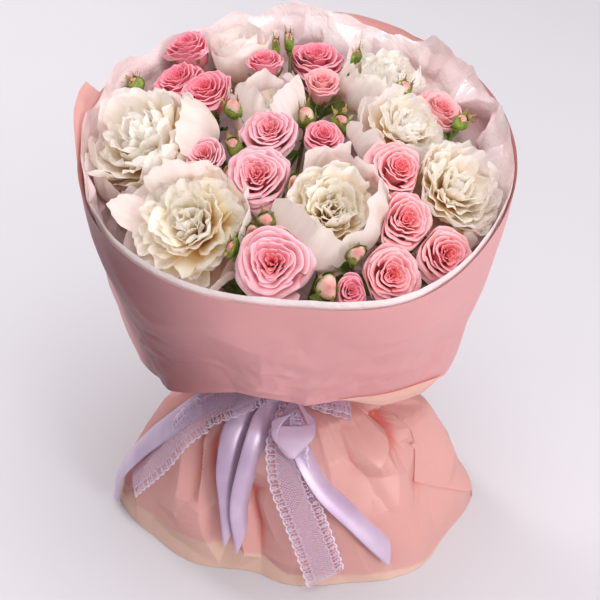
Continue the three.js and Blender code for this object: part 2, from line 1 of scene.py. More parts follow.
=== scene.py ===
# Looks of a wrapped bunch of peonies and spray roses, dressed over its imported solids.
# Shapes are worked out in millimetres, +Z up and the front towards -Y, and stored in metres.
import math

import bpy
import numpy as np
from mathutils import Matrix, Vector
from mathutils.geometry import delaunay_2d_cdt


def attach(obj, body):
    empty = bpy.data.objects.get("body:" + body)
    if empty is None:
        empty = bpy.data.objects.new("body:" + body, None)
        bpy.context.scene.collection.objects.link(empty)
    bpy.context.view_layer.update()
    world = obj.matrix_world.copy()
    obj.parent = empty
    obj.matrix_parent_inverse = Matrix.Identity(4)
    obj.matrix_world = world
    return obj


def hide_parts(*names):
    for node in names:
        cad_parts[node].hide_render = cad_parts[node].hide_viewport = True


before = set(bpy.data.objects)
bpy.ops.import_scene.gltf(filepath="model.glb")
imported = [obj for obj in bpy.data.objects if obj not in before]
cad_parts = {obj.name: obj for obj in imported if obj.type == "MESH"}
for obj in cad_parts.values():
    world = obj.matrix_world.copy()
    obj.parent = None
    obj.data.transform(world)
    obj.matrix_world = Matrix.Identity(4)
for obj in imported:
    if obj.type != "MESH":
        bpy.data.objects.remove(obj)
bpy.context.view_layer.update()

MM = 0.001
TAU = 2 * math.pi
GOLDEN = 2.39996                        # turn from one petal of a spiral to the next, in radians
BINDING_Z = 152                         # where the stems cross and are tied
NECK_Z = 142                            # the lower end of the wrap's neck
FOCUS = np.array([0.0, 50.0, 0.0])      # the stems and the heads' cells spread from about here
AIM = np.array([0.0, 110.0, 130.0])     # every bloom looks away from this point
APEX = np.array([0.0, 0.0, 142.0])      # the planes between neighbouring heads run through here

# Plan radii every 30 degrees, anticlockwise from +X.
RIM = [184, 186, 185, 186, 175, 182, 177, 173, 168, 165, 182, 181]
FOLD = [148, 134, 112, 102, 110, 122, 140, 124, 96, 93, 104, 134]
FOLD_Z = [178, 176, 178, 180, 178, 176, 175, 190, 198, 197, 197, 198]
HEM = [166, 157, 136, 122, 132, 152, 166, 145, 120, 120, 138, 154]
RIM_Z = 380                             # height of the rim at the sides
RIM_RISE = 0.2                          # how much it rises for each millimetre towards the back
BELLY = 5.05                            # how far the collar bows out halfway down
BACK_INSET, LINER_INSET = 1.4, 2.8      # the layers' places inside the rim and the fold
COLLAR_NECK, LINER_NECK, SKIRT_NECK = 21.7, 20.3, 23.1
SATIN_WIDTH, LACE_WIDTH = 24.4, 38
# Height, and the share of the way from the neck's radius to the hem's.
SKIRT_SECTION = [[152.5, 0], [142, 0], [138, 0.38], [114, 0.64], [60, 0.85], [0.4, 1]]

# name, x, y, z, half-width
PEONIES = [
    ("peony_left", -123, 16, 386, 51), ("peony_front_left", -82, -81, 368, 50),
    ("peony_front", 32, -74, 377, 44), ("peony_right", 131, -37, 372, 40),
    ("peony_inner_right", 94, 18, 397, 36), ("peony_back_right", 81, 92, 400, 40),
    ("peony_back", -46, 122, 406, 33), ("peony_middle", -23, 47, 400, 36),
]
# name, x, y, z, half-width, how far closed, spray, colouring
ROSES = [
    ("rose_01", -90, 120, 414, 25, 0.3, 1, "deep"), ("rose_02", -98, 89, 400, 27, 0, 1, "deep"),
    ("rose_03", -73, 60, 404, 27, 0.2, 1, "deep"), ("rose_04", -24, 93, 411, 19, 0.9, 2, "deep"),
    ("rose_05", 19, 111, 407, 29, 0.2, 2, "deep"), ("rose_06", 24, 65, 406, 20, 0.9, 2, "blush"),
    ("rose_07", -19, 6, 399, 26, 0, 3, "pale"), ("rose_08", -28, -42, 386, 29, 0, 3, "pale"),
    ("rose_09", -71, -17, 389, 19, 0.2, 4, "pale"), ("rose_10", 24, 0, 396, 18, 0.4, 3, "deep"),
    ("rose_11", 122, 51, 387, 27, 0.6, 5, "blush"), ("rose_12", 83, -34, 384, 27, 0.5, 6, "coral"),
    ("rose_13", 87, -80, 368, 26, 0.3, 6, "coral"), ("rose_14", 119, -96, 347, 26, 0.1, 7, "coral"),
    ("rose_15", 75, -128, 351, 24, 0.1, 7, "coral"), ("rose_16", -15, -123, 359, 32, 0, 4, "pale"),
    ("rose_17", 44, -135, 341, 16, 0.5, 7, "deep"),
]
# name, x, y, z, half-width, spray, how much pink shows
BUDS = [
    ("bud_01", -16, 109, 421, 9, 2, 0.2), ("bud_02", -3, 110, 426, 9, 2, 0.5),
    ("bud_03", 54, 112, 409, 10, 5, 0.1), ("bud_04", 92, 60, 407, 9, 5, 0.6),
    ("bud_05", 138, 31, 394, 8, 5, 0.2), ("bud_06", -47, 35, 404, 10, 3, 0.8),
    ("bud_07", 9, 25, 401, 10, 3, 0.8), ("bud_08", 39, 18, 399, 9, 3, 0.1),
    ("bud_09", -48, -9, 393, 9, 4, 0.1), ("bud_10", -20, -87, 372, 9, 4, 0.3),
    ("bud_11", -46, -110, 364, 8, 4, 0.1), ("bud_12", 49, -113, 361, 9, 6, 0.6),
    ("bud_13", -1, -49, 382, 9, 3, 0.7), ("bud_14", -137, 96, 392, 8, 1, 0.2),
    ("bud_15", 28, -142, 350, 11, 7, 1.0), ("bud_16", -31, -96, 368, 8, 4, 1.0),
]
BASE = {"peony": 0.92, "rose": 0.92, "bud": 1.25}


# ---------------------------------------------------------------- shapes

def unit(v):
    v = np.asarray(v, float)
    return v / np.maximum(np.linalg.norm(v, axis=-1, keepdims=True), 1e-9)


def polar(radius, phi, z):
    radius, phi, z = np.broadcast_arrays(radius, phi, z)
    return np.stack([radius * np.cos(phi), radius * np.sin(phi), z], -1).astype(float)


def spline(f, a, b, c, d):
    """From b to c, with a and d as the values before and after them."""
    return b + 0.5 * f * (c - a + f * (2 * a - 5 * b + 4 * c - d + f * (3 * (b - c) + d - a)))


def around(values, phi):
    """A value that runs smoothly round the circle through evenly spaced ones."""
    values = np.asarray(values, float)
    place = (np.asarray(phi) / TAU % 1) * len(values)
    start = np.floor(place).astype(int)
    return spline(place - start, *(values[(start + step) % len(values)] for step in (-1, 0, 1, 2)))


def smooth(x, low, high):
    """From 0 at low to 1 at high, with level ends."""
    t = np.clip((np.asarray(x, float) - low) / (high - low), 0, 1)
    return t * t * (3 - 2 * t)


def bump_at(x, middle, width):
    """One smooth hump of height 1."""
    return np.exp(-(((x - middle) / width) ** 2))


def curve(points, count):
    """Points at even spacing along a smooth line through the given ones."""
    p = np.asarray(points, float)
    ends = np.vstack([2 * p[0] - p[1], p, 2 * p[-1] - p[-2]])
    fine = []
    for i in range(len(p) - 1):
        fine.append(spline(np.linspace(0, 1, 24, endpoint=i == len(p) - 2)[:, None], *ends[i:i + 4]))
    fine = np.vstack(fine)
    run = np.concatenate([[0], np.cumsum(np.linalg.norm(np.diff(fine, axis=0), axis=1))])
    even = np.linspace(0, run[-1], count)
    return np.stack([np.interp(even, run, fine[:, k]) for k in range(3)], -1)


def facets(xs, ys, sites, heights):
    """Heights over a grid: flat triangles between the sites, so that creases run from site to site."""
    corners, _, faces, origin = delaunay_2d_cdt([Vector(site) for site in sites], [], [], 0, 1e-5)[:4]
    corners = np.array([corner[:] for corner in corners])
    heights = np.array([heights[first[0]] for first in origin])
    out = np.zeros((len(ys), len(xs)))
    for face in faces:
        (ax, ay), (bx, by), (cx, cy) = corners[face]
        area = (bx - ax) * (cy - ay) - (cx - ax) * (by - ay)
        if abs(area) < 1e-9:
            continue
        i = slice(*np.searchsorted(xs, [min(ax, bx, cx), max(ax, bx, cx)]))
        j = slice(*np.searchsorted(ys, [min(ay, by, cy), max(ay, by, cy)]))
        x, y = xs[None, i] - ax, ys[j, None] - ay
        p = (x * (cy - ay) - y * (cx - ax)) / area
        q = (y * (bx - ax) - x * (by - ay)) / area
        ha, hb, hc = heights[face]
        inside = (p > -1e-6) & (q > -1e-6) & (p + q < 1 + 1e-6)
        out[j, i] = np.where(inside, ha + p * (hb - ha) + q * (hc - ha), out[j, i])
    return out


def crinkle(xs, ys, spacing, height, draw):
    """Facets between random points, for a sheet that closes on itself along x."""
    period = xs[-1] + xs[1] - 2 * xs[0]
    count = round(period / spacing)
    gx = xs[0] + np.arange(count) * period / count
    gy = np.arange(ys[0] - 2 * spacing, ys[-1] + 2 * spacing, spacing)
    gx, gy = np.meshgrid(gx, gy)
    gx = gx + draw.uniform(-0.45, 0.45, gx.shape) * spacing
    gy = gy + draw.uniform(-0.45, 0.45, gy.shape) * spacing
    heights = draw.uniform(-height, height, gx.size)
    sites = np.stack([gx.ravel(), gy.ravel()], -1)
    sites = np.concatenate([sites + [shift * period, 0] for shift in (-1, 0, 1)])
    keep = (sites[:, 0] > xs[0] - 3 * spacing) & (sites[:, 0] < xs[-1] + 3 * spacing)
    return facets(xs, ys, sites[keep], np.tile(heights, 3)[keep])


def cells(rows, cols):
    """Shares of the way along a grid's rows, 0 to 1, and across its columns, -1 to 1."""
    return np.linspace(0, 1, rows)[:, None], np.linspace(-1, 1, cols)[None, :]


def circle(count):
    return np.linspace(0, TAU, count, endpoint=False)


def angle_gap(phi, degrees):
    return (np.degrees(phi) - degrees + 180) % 360 - 180


def tent(gap, width):
    """A straight-sided peak of height 1."""
    return np.maximum(0, 1 - np.abs(gap) / width)


def turned(x, y, z, azimuth):
    """Points that stand along +X, turned about the upright axis."""
    c, s = math.cos(azimuth), math.sin(azimuth)
    return np.stack(np.broadcast_arrays(x * c - y * s, x * s + y * c, z), -1)


def in_scene(name, data):
    made = bpy.data.objects.new(name, data)
    bpy.context.scene.collection.objects.link(made)
    return made


class Piece:
    """One visible piece, put together from grids of points."""

    def __init__(self, name):
        self.name = name
        self.points, self.quads, self.tints, self.edges, self.slots = [], [], [], [], []
        self.count = 0

    def grid(self, points, along=None, ring=0.0, draw=0.0, edge=0.0, across=None, slot=0, closed=False,
             keep=None):
        """Adds rows and columns of points, with the values that the materials read."""
        rows, cols = points.shape[:2]
        along = np.linspace(0, 1, rows)[:, None] if along is None else along
        across = np.linspace(0, 1, cols)[None, :] if across is None else across
        channels = [np.broadcast_to(c, (rows, cols)) for c in (along, across, ring, draw)]
        self.tints.append(np.stack(channels, -1).reshape(-1, 4))
        self.edges.append(np.broadcast_to(edge, (rows, cols)).reshape(-1))
        index = self.count + np.arange(rows * cols).reshape(rows, cols)
        if closed:
            index = np.hstack([index, index[:, :1]])
        quads = np.stack([index[:-1, :-1], index[:-1, 1:], index[1:, 1:], index[1:, :-1]], -1)
        quads = quads.reshape(-1, 4) if keep is None else quads[keep]
        self.quads.append(quads)
        self.slots.append(np.full(len(quads), slot))
        self.points.append(points.reshape(-1, 3))
        self.count += rows * cols

    def make(self, materials, replaces, sharp=None):
        points, quads = np.vstack(self.points), np.vstack(self.quads)
        used = np.unique(quads)
        back = np.full(len(points), -1)
        back[used] = np.arange(len(used))
        mesh = bpy.data.meshes.new(self.name)
        mesh.vertices.add(len(used))
        mesh.vertices.foreach_set("co", (points[used] * MM).astype(np.float32).ravel())
        mesh.loops.add(4 * len(quads))
        mesh.loops.foreach_set("vertex_index", back[quads].astype(np.int32).ravel())
        mesh.polygons.add(len(quads))
        mesh.polygons.foreach_set("loop_start", np.arange(0, 4 * len(quads), 4, dtype=np.int32))
        mesh.polygons.foreach_set("material_index", np.concatenate(self.slots).astype(np.int32))
        mesh.polygons.foreach_set("use_smooth", np.ones(len(quads), bool))
        for material in materials:
            mesh.materials.append(material)
        mesh.update(calc_edges=True)
        tint = mesh.attributes.new("tint", "FLOAT_COLOR", "POINT")
        tint.data.foreach_set("color", np.vstack(self.tints)[used].astype(np.float32).ravel())
        edge = mesh.attributes.new("edge", "FLOAT", "POINT")
        edge.data.foreach_set("value", np.concatenate(self.edges)[used].astype(np.float32))
        mesh.validate()
        if sharp is not None:
            mesh.set_sharp_from_angle(angle=math.radians(sharp))
        made = in_scene(self.name, mesh)
        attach(made, "root")
        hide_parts(*replaces)
        return made


# ---------------------------------------------------------------- materials

def linear(color):
    """A screen colour of 0 to 255 as the linear values that shaders take."""
    return [((c / 255 + 0.055) / 1.055) ** 2.4 if c > 10 else c / 255 / 12.92 for c in color] + [1.0]


class Look:
    """A material, with short calls for its nodes. Colours are given as (r, g, b) of 0 to 255.

    The mesh's own values are sockets: along and across run over a petal or sheet, ring and draw tell its
    parts from each other, ring also carries painted shade on the films, and edge is 1 where the piece ends."""

    def __init__(self, name):
        self.material = bpy.data.materials.new(name)
        self.material.use_nodes = True
        self.tree = self.material.node_tree
        self.tree.nodes.clear()
        tint = self.node("Attribute", attribute_name="tint").outputs
        split = self.node("SeparateColor", {"Color": tint["Color"]})
        self.along, self.across, self.ring = split.outputs
        self.draw = tint["Alpha"]
        self.edge = self.node("Attribute", attribute_name="edge").outputs["Fac"]
        self.place = self.node("TexCoord").outputs["Object"]

    def node(self, kind, inputs=None, **settings):
        made = self.tree.nodes.new("ShaderNode" + kind)
        for key, value in settings.items():
            setattr(made, key, value)
        for key, value in (inputs or {}).items():
            if isinstance(value, bpy.types.NodeSocket):
                self.tree.links.new(value, made.inputs[key])
            else:
                is_color = isinstance(value, tuple) and len(value) == 3 and kind == "Mix"
                made.inputs[key].default_value = linear(value) if is_color else value
        return made

    def ramp(self, factor, *stops):
        made = self.node("ValToRGB", {"Fac": factor})
        elements = made.color_ramp.elements
        elements.remove(elements[-1])
        for i, (place, color) in enumerate(stops):
            stop = elements.new(place) if i else elements[0]
            stop.position, stop.color = place, linear(color)
        return made.outputs["Color"]

    def mix(self, factor, a, b, blend="MIX"):
        return self.node("Mix", {0: factor, 6: a, 7: b}, data_type="RGBA", blend_type=blend).outputs[2]

    def maths(self, operation, *values):
        return self.node("Math", dict(enumerate(values)), operation=operation).outputs[0]

    def rest(self, value):
        return self.maths("SUBTRACT", 1.0, value)

    def step(self, value, low, high):
        return self.node("MapRange", {"Value": value, "From Min": low, "From Max": high},
                         interpolation_type="SMOOTHSTEP").outputs["Result"]

    def noise(self, scale, detail=3.0, roughness=0.55, distortion=0.0, at=None):
        return self.node("TexNoise", {
            "Vector": self.place if at is None else at, "Scale": scale, "Detail": detail,
            "Roughness": roughness, "Distortion": distortion}).outputs["Fac"]

    def vector(self, operation, a, b):
        return self.node("VectorMath", {0: a, 1: b}, operation=operation).outputs[0]

    def bump(self, height, strength, distance):
        return self.node("Bump", {"Height": height, "Strength": strength,
                                  "Distance": distance}).outputs["Normal"]

    def veins(self, fineness=26.0):
        """Fine lines that run along a petal."""
        where = {i: self.maths("MULTIPLY", socket, scale) for i, (socket, scale) in enumerate(
            ((self.across, fineness), (self.along, 1.6), (self.draw, 37.0)))}
        return self.noise(1.0, 3.0, 0.6, at=self.node("CombineXYZ", where).outputs[0])

    def shaded(self, color, streaks, depth):
        shade = self.maths("MULTIPLY_ADD", streaks, depth, 1.0 - 0.5 * depth)
        return self.mix(1.0, color, shade, "MULTIPLY")

    def toned(self, color, mask, amount, target):
        """The colour, drawn towards another by an amount where the mask is."""
        return self.mix(self.maths("MULTIPLY", mask, amount), color, target)

    def cloudy(self, cloud, a, b, high=0.7):
        return self.mix(self.step(cloud, 0.3, high), a, b)

    def finish(self, color, normal=None, roughness=0.5, through=0.0, specular=0.4, **more):
        """The shader, of which the share through lets light pass; more of its inputs, with _ for a space."""
        shader = self.node("BsdfPrincipled", {"Base Color": color, "Roughness": roughness,
                                              "Specular IOR Level": specular})
        for key, value in more.items():
            shader.inputs[key.replace("_", " ")].default_value = value
        last = shader.outputs[0]
        pass_light = self.node("BsdfTranslucent", {"Color": color}) if through else None
        if normal is not None:
            for one in (shader, pass_light) if through else (shader,):
                self.tree.links.new(normal, one.inputs["Normal"])
        if through:
            last = self.node("MixShader", {0: through, 1: last, 2: pass_light.outputs[0]}).outputs[0]
        self.node("OutputMaterial", {"Surface": last})
        return self.material


def petal_look(name, root, body, tip, line, hearts=None, through=0.4):
    """Colours from the petal's root to its tip, its fine edge line, which is a painted highlight where it is
    lighter than the tip and the petal's own edge colour where it is darker, and a deeper one near the heart.
    """
    look = Look(name)
    streaks = look.veins()
    color = look.ramp(look.along, (0.0, root), (0.42, body), (0.8, body), (1.0, tip))
    if hearts is not None:
        color = look.mix(look.rest(look.step(look.ring, 0.0, 0.55)), color, hearts)
    uneven = look.step(look.noise(90.0, 2.0), 0.35, 0.75)
    color = look.mix(uneven, color, look.mix(0.35, color, tip))
    color = look.shaded(color, streaks, 0.2)
    # The edge line: a painted highlight on the deep, pale and coral roses, and the petals' own darker edge on
    # the blush roses and the buds.
    color = look.toned(color, look.step(look.edge, 0.9, 1.0), 0.85, line)
    return look.finish(color, look.bump(streaks, 0.25, 0.0006), through=through, specular=0.25)


def cream_look():
    look = Look("cream_petal")
    streaks = look.veins(18.0)
    warm = look.ramp(look.along, (0.0, (255, 190, 106)), (0.3, (255, 226, 164)), (0.52, (255, 246, 220)),
                     (0.72, (255, 251, 244)), (1.0, (255, 252, 249)))
    white = look.ramp(look.along, (0.0, (255, 210, 158)), (0.3, (255, 237, 208)), (0.52, (255, 249, 240)),
                      (1.0, (255, 252, 250)))
    blush = look.ramp(look.along, (0.4, (250, 220, 206)), (0.7, (252, 236, 231)), (1.0, (252, 241, 239)))
    color = look.mix(look.draw, white, warm)
    color = look.toned(color, look.step(look.ring, 0.9, 1.0), 0.8, blush)
    color = look.shaded(color, streaks, 0.12)
    rim = look.maths("MULTIPLY", look.step(look.edge, 0.95, 1.0), look.draw)
    color = look.toned(color, rim, 0.12, (230, 200, 160))
    return look.finish(color, look.bump(streaks, 0.3, 0.0007), through=0.56, specular=0.2)


def green_look(name, base, light, pink=None, through=0.12):
    look = Look(name)
    streaks = look.veins(14.0)
    color = look.cloudy(look.noise(140.0), base, light)
    color = look.toned(color, look.step(streaks, 0.45, 0.75), 0.4, light)
    if pink is not None:
        color = look.toned(color, look.step(look.along, 0.45, 0.95), 0.6, pink)
    return look.finish(color, look.bump(streaks, 0.4, 0.0006), 0.45, through)


def film_look(name, color, deep, painted_shade_color, through, pale=None, roughness=0.38, specular=0.5):
    """Matt film with soft clouds of colour, and painted shade where ring is set; pale is its single layer, by
    edge.
    """
    look = Look(name)
    fine = look.noise(28.0, 3.0, 0.5, 0.6)
    shade = look.cloudy(look.noise(5.0, 1.0), color, deep, 0.72)
    # Painted shade: where ring is set, the colour is drawn towards the film's dark shade colour.
    shade = look.mix(look.ring, shade, painted_shade_color)
    if pale is not None:
        shade = look.mix(look.edge, shade, pale)
    height = look.mix(0.04, fine, look.noise(900.0, 1.0))
    return look.finish(shade, look.bump(height, 0.3, 0.002), roughness, through, specular)


def tissue_look():
    look = Look("tissue")
    shifted = look.vector("ADD", look.place, look.mix(0.06, (0, 0, 0, 1), look.noise(22.0)))
    creases = [look.step(look.node("TexVoronoi", {"Vector": shifted, "Scale": scale},
                                   feature="DISTANCE_TO_EDGE").outputs["Distance"], 0.0, 0.22)
               for scale in (40.0, 95.0)]
    height = look.mix(0.4, *creases)
    color = look.cloudy(look.noise(14.0, 2.0), (254, 243, 243), (247, 229, 231))
    # Painted shade: the sheet is drawn pinker and darker deeper down in the wrap.
    color = look.toned(color, look.rest(look.step(look.along, 0.35, 0.95)), 0.5, (238, 198, 200))
    # Where the sheet lies against the film, the pink shows through it, and this pink is also painted shade on
    # the facets that lie back beside the white ones that stand in.
    color = look.toned(color, look.rest(look.step(look.ring, 0.1, 0.7)), 0.6, (240, 200, 203))
    return look.finish(color, look.bump(height, 0.3, 0.0012), 0.24, 0.25, 0.7, Coat_Weight=0.3)


def satin_look():
    look = Look("satin")
    threads = look.maths("SINE", look.maths("MULTIPLY", look.across, 260.0))
    color = look.cloudy(look.noise(22.0, 2.0), (208, 186, 210), (190, 164, 194))
    color = look.toned(color, look.step(look.edge, 0.86, 0.97), 0.5, (152, 130, 170))
    return look.finish(color, look.bump(threads, 0.06, 0.0002), 0.35, 0.06, 0.6, Sheen_Weight=0.3,
                       Sheen_Tint=(0.9, 0.86, 1.0, 1.0), Metallic=0.22)


def lace_look():
    look = Look("lace")
    color = look.mix(look.step(look.edge, 0.5, 1.0), (206, 186, 210), (232, 222, 238))
    thread = look.bump(look.noise(700.0, 2.0), 0.5, 0.0006)
    return look.finish(color, thread, 0.75, 0.2, 0.2, Sheen_Weight=0.4)


def twine_look():
    look = Look("twine")
    cloud, fibres = (look.noise(scale, at=look.vector("MULTIPLY", look.place, (1, 1, squash)))
                     for scale, squash in ((120.0, 8), (150.0, 10)))
    return look.finish(look.mix(cloud, (150, 118, 74), (204, 176, 128)), look.bump(fibres, 0.8, 0.001), 0.9)


CREAM = cream_look()
# The fourth colour is the edge line: a painted highlight on the deep, pale and coral roses, and a darker edge
# colour of the petal on the blush roses.
ROSE_LOOKS = {name: petal_look(name + "_petal", *colors) for name, *colors in (
    ("deep", (248, 146, 158), (250, 158, 176), (253, 190, 204), (254, 214, 224), (238, 92, 118)),
    ("pale", (250, 160, 166), (254, 192, 202), (255, 216, 226), (255, 232, 238), (246, 124, 138)),
    ("coral", (254, 158, 158), (255, 184, 189), (255, 208, 213), (255, 228, 231), (250, 112, 121)),
    ("blush", (254, 214, 202), (254, 210, 208), (253, 192, 200), (252, 174, 188), (246, 138, 148)))}
GREEN = green_look("green_sepal", (92, 124, 34), (150, 178, 74), pink=(178, 110, 80))
LEAF = green_look("leaf", (56, 84, 30), (112, 140, 58), through=0.2)
BUD_PETAL = petal_look("bud_petal", (214, 214, 150), (246, 214, 196), (238, 138, 140), (224, 100, 112),
                       through=0.2)
STEM = green_look("stem", (78, 104, 44), (126, 146, 74), through=0.0)
TISSUE = tissue_look()
# The third colour of each film is its painted shade: at the collar's front left and in the skirt's fold
# valleys.
COLLAR = film_look("collar_film", (226, 162, 163), (219, 153, 155), (128, 70, 75), through=0.06,
                   roughness=0.42, specular=0.35)
SALMON = film_look("salmon_film", (241, 186, 180), (237, 178, 171), (226, 118, 104), through=0.3,
                   pale=(246, 210, 190))
SATIN = satin_look()
LACE = lace_look()
TWINE = twine_look()


# ---------------------------------------------------------------- heads

HEADS = (
    [dict(name=n, kind="peony", at=(x, y, z), r=r, spray=0) for n, x, y, z, r in PEONIES]
    + [dict(name=n, kind="rose", at=(x, y, z), r=r, closing=c, spray=s, look=k)
       for n, x, y, z, r, c, s, k in ROSES]
    + [dict(name=n, kind="bud", at=(x, y, z), r=r, spray=s, pink=p) for n, x, y, z, r, s, p in BUDS]
)
for order, head in enumerate(HEADS):
    head["at"] = np.array(head["at"], float)
    facing = unit(head["at"] - AIM)
    side = unit(np.array([1.0, 0, 0]) - facing[0] * facing)
    head["axes"] = np.stack([side, np.cross(facing, side), facing])
    head["outward"] = unit(head["at"] - FOCUS)
    head["foot"] = head["at"] - BASE[head["kind"]] * head["r"] * head["outward"]
    head["walls"] = []
    head["draw"] = np.random.default_rng(100 + order)

# Neighbouring heads press on each other along a plane between them.
for index, one in enumerate(HEADS):
    for other in HEADS[index + 1:]:
        between = other["at"] - one["at"]
        distance = np.linalg.norm(between)
        if distance > 1.15 * (one["r"] + other["r"]):
            continue
        share = np.clip(0.5 + (one["r"] ** 2 - other["r"] ** 2) / (2 * distance ** 2), 0.1, 0.9)
        meeting = one["at"] + between * share
        ray = unit(meeting - APEX)
        normal = between - (between @ ray) * ray
        normal = unit(normal if np.linalg.norm(normal) > 0.35 * distance else between)
        one["walls"].append((normal, normal @ meeting))
        other["walls"].append((-normal, -(normal @ meeting)))


def room_radius(phi, z):
    """Inner radius of the tissue at a height."""
    rim, fold = around(RIM, phi) - LINER_INSET, around(FOLD, phi) - LINER_INSET
    rim_z, fold_z = RIM_Z + RIM_RISE * rim * np.sin(phi), around(FOLD_Z, phi)
    knee, knee_z = rim + 0.3 * (fold - rim), rim_z + 0.3 * (fold_z - rim_z)
    low = LINER_NECK + (knee - LINER_NECK) * np.clip((z - BINDING_Z) / (knee_z - BINDING_Z), 0, 1)
    return np.where(z > knee_z, knee + (rim - knee) * np.clip((z - knee_z) / (rim_z - knee_z), 0, 1), low)


def give_way(over, softness):
    """The way back for points over a limit, which then stay less than the softness over it."""
    over = np.maximum(over, 0)
    return softness * (1 - np.exp(-over / softness)) - over


def press(points, walls=(), softness=5.0, slack=0.0):
    """Keeps points on their own side of the neighbouring heads and inside the wrap."""
    p = points.copy()
    for normal, offset in walls:
        p += give_way(p @ normal - offset + 0.3 + softness - slack, softness)[..., None] * normal
    radius, phi = np.hypot(p[..., 0], p[..., 1]), np.arctan2(p[..., 1], p[..., 0])
    back = give_way(radius - room_radius(phi, p[..., 2]) + 3.0 + softness, softness)
    p[..., :2] *= ((radius + back) / np.maximum(radius, 1e-6))[..., None]
    return p


def set_in(points, head):
    """From a head's own millimetres, with +Z out of the flower, to the bunch's."""
    return press(points @ head["axes"] + head["at"], head["walls"])


def ragged(u, draw, depth):
    """Uneven notches along a petal's tip."""
    out = np.zeros_like(u)
    for k, height in ((2.1, 0.5), (4.3, 0.35), (8.7, 0.3)):
        out = out + height * np.abs(np.sin(k * u + draw.uniform(0, TAU)))
    return depth * out


def petal_reach(u, draw, tip, notch):
    """How far a petal reaches across its width: a round tip with uneven notches."""
    return 1 - tip * (1 - np.sqrt(1 - 0.96 * u ** 2)) - ragged(u, draw, notch)


def petal_edge(v, u, power=3, start=0.2):
    return np.maximum(v, np.abs(u) ** power * smooth(v, start, start + 0.5))


def petal(draw, root, height, azimuth, length, width, lean, curl, cup, rows, cols, tip, waist=0.4, notch=0.0,
          cleft=0.0, ruffle=0.0, folds=2.5, hook=0.0, sway=0.0, fray=0.0):
    """A petal that leaves the axis at an angle and bends as it goes; lean and curl are in degrees."""
    v, u = cells(rows, cols)
    reach = petal_reach(u, draw, tip, notch)
    reach = reach - cleft * bump_at(u, draw.uniform(-0.4, 0.4), 0.12)
    w = v * reach
    s = np.linspace(0, 1.05, 60)
    slope = np.radians(lean + curl * s ** 1.2 + hook * smooth(s, 0.7, 1.0))
    path = np.stack([np.sin(slope), np.cos(slope)], -1).cumsum(0) * (s[1] - s[0]) * length
    rho, rise = np.interp(w, s, path[:, 0]), np.interp(w, s, path[:, 1])
    tilt = np.interp(w, s, slope)
    half = width / 2 * (waist + (1 - waist) * np.sin(np.minimum(1, 1.2 * w) * math.pi / 2))
    phase = draw.uniform(0, TAU)
    depth = -cup * half * u ** 2
    depth = depth + ruffle * half * w ** 2 * np.sin(folds * u * math.pi + phase)
    depth = depth + 0.35 * ruffle * half * w ** 3 * np.sin(2.7 * folds * u * math.pi + 2 * phase)
    depth = depth + fray * w ** 4 * draw.normal(size=(1, cols))
    x, z = root + rho + depth * np.cos(tilt), height + rise - depth * np.sin(tilt)
    y = half * u * (1 - 0.12 * cup * u ** 2) + sway * w * length
    return turned(x, y, z, azimuth), w, petal_edge(v, u)


def smooth_petal(piece, head, **shape):
    """An outer petal, in the paler colours."""
    points, w, edge = petal(head["draw"], **shape)
    piece.grid(set_in(points, head), 0.4 + 0.6 * w, 1.0, head["draw"].uniform(), edge)


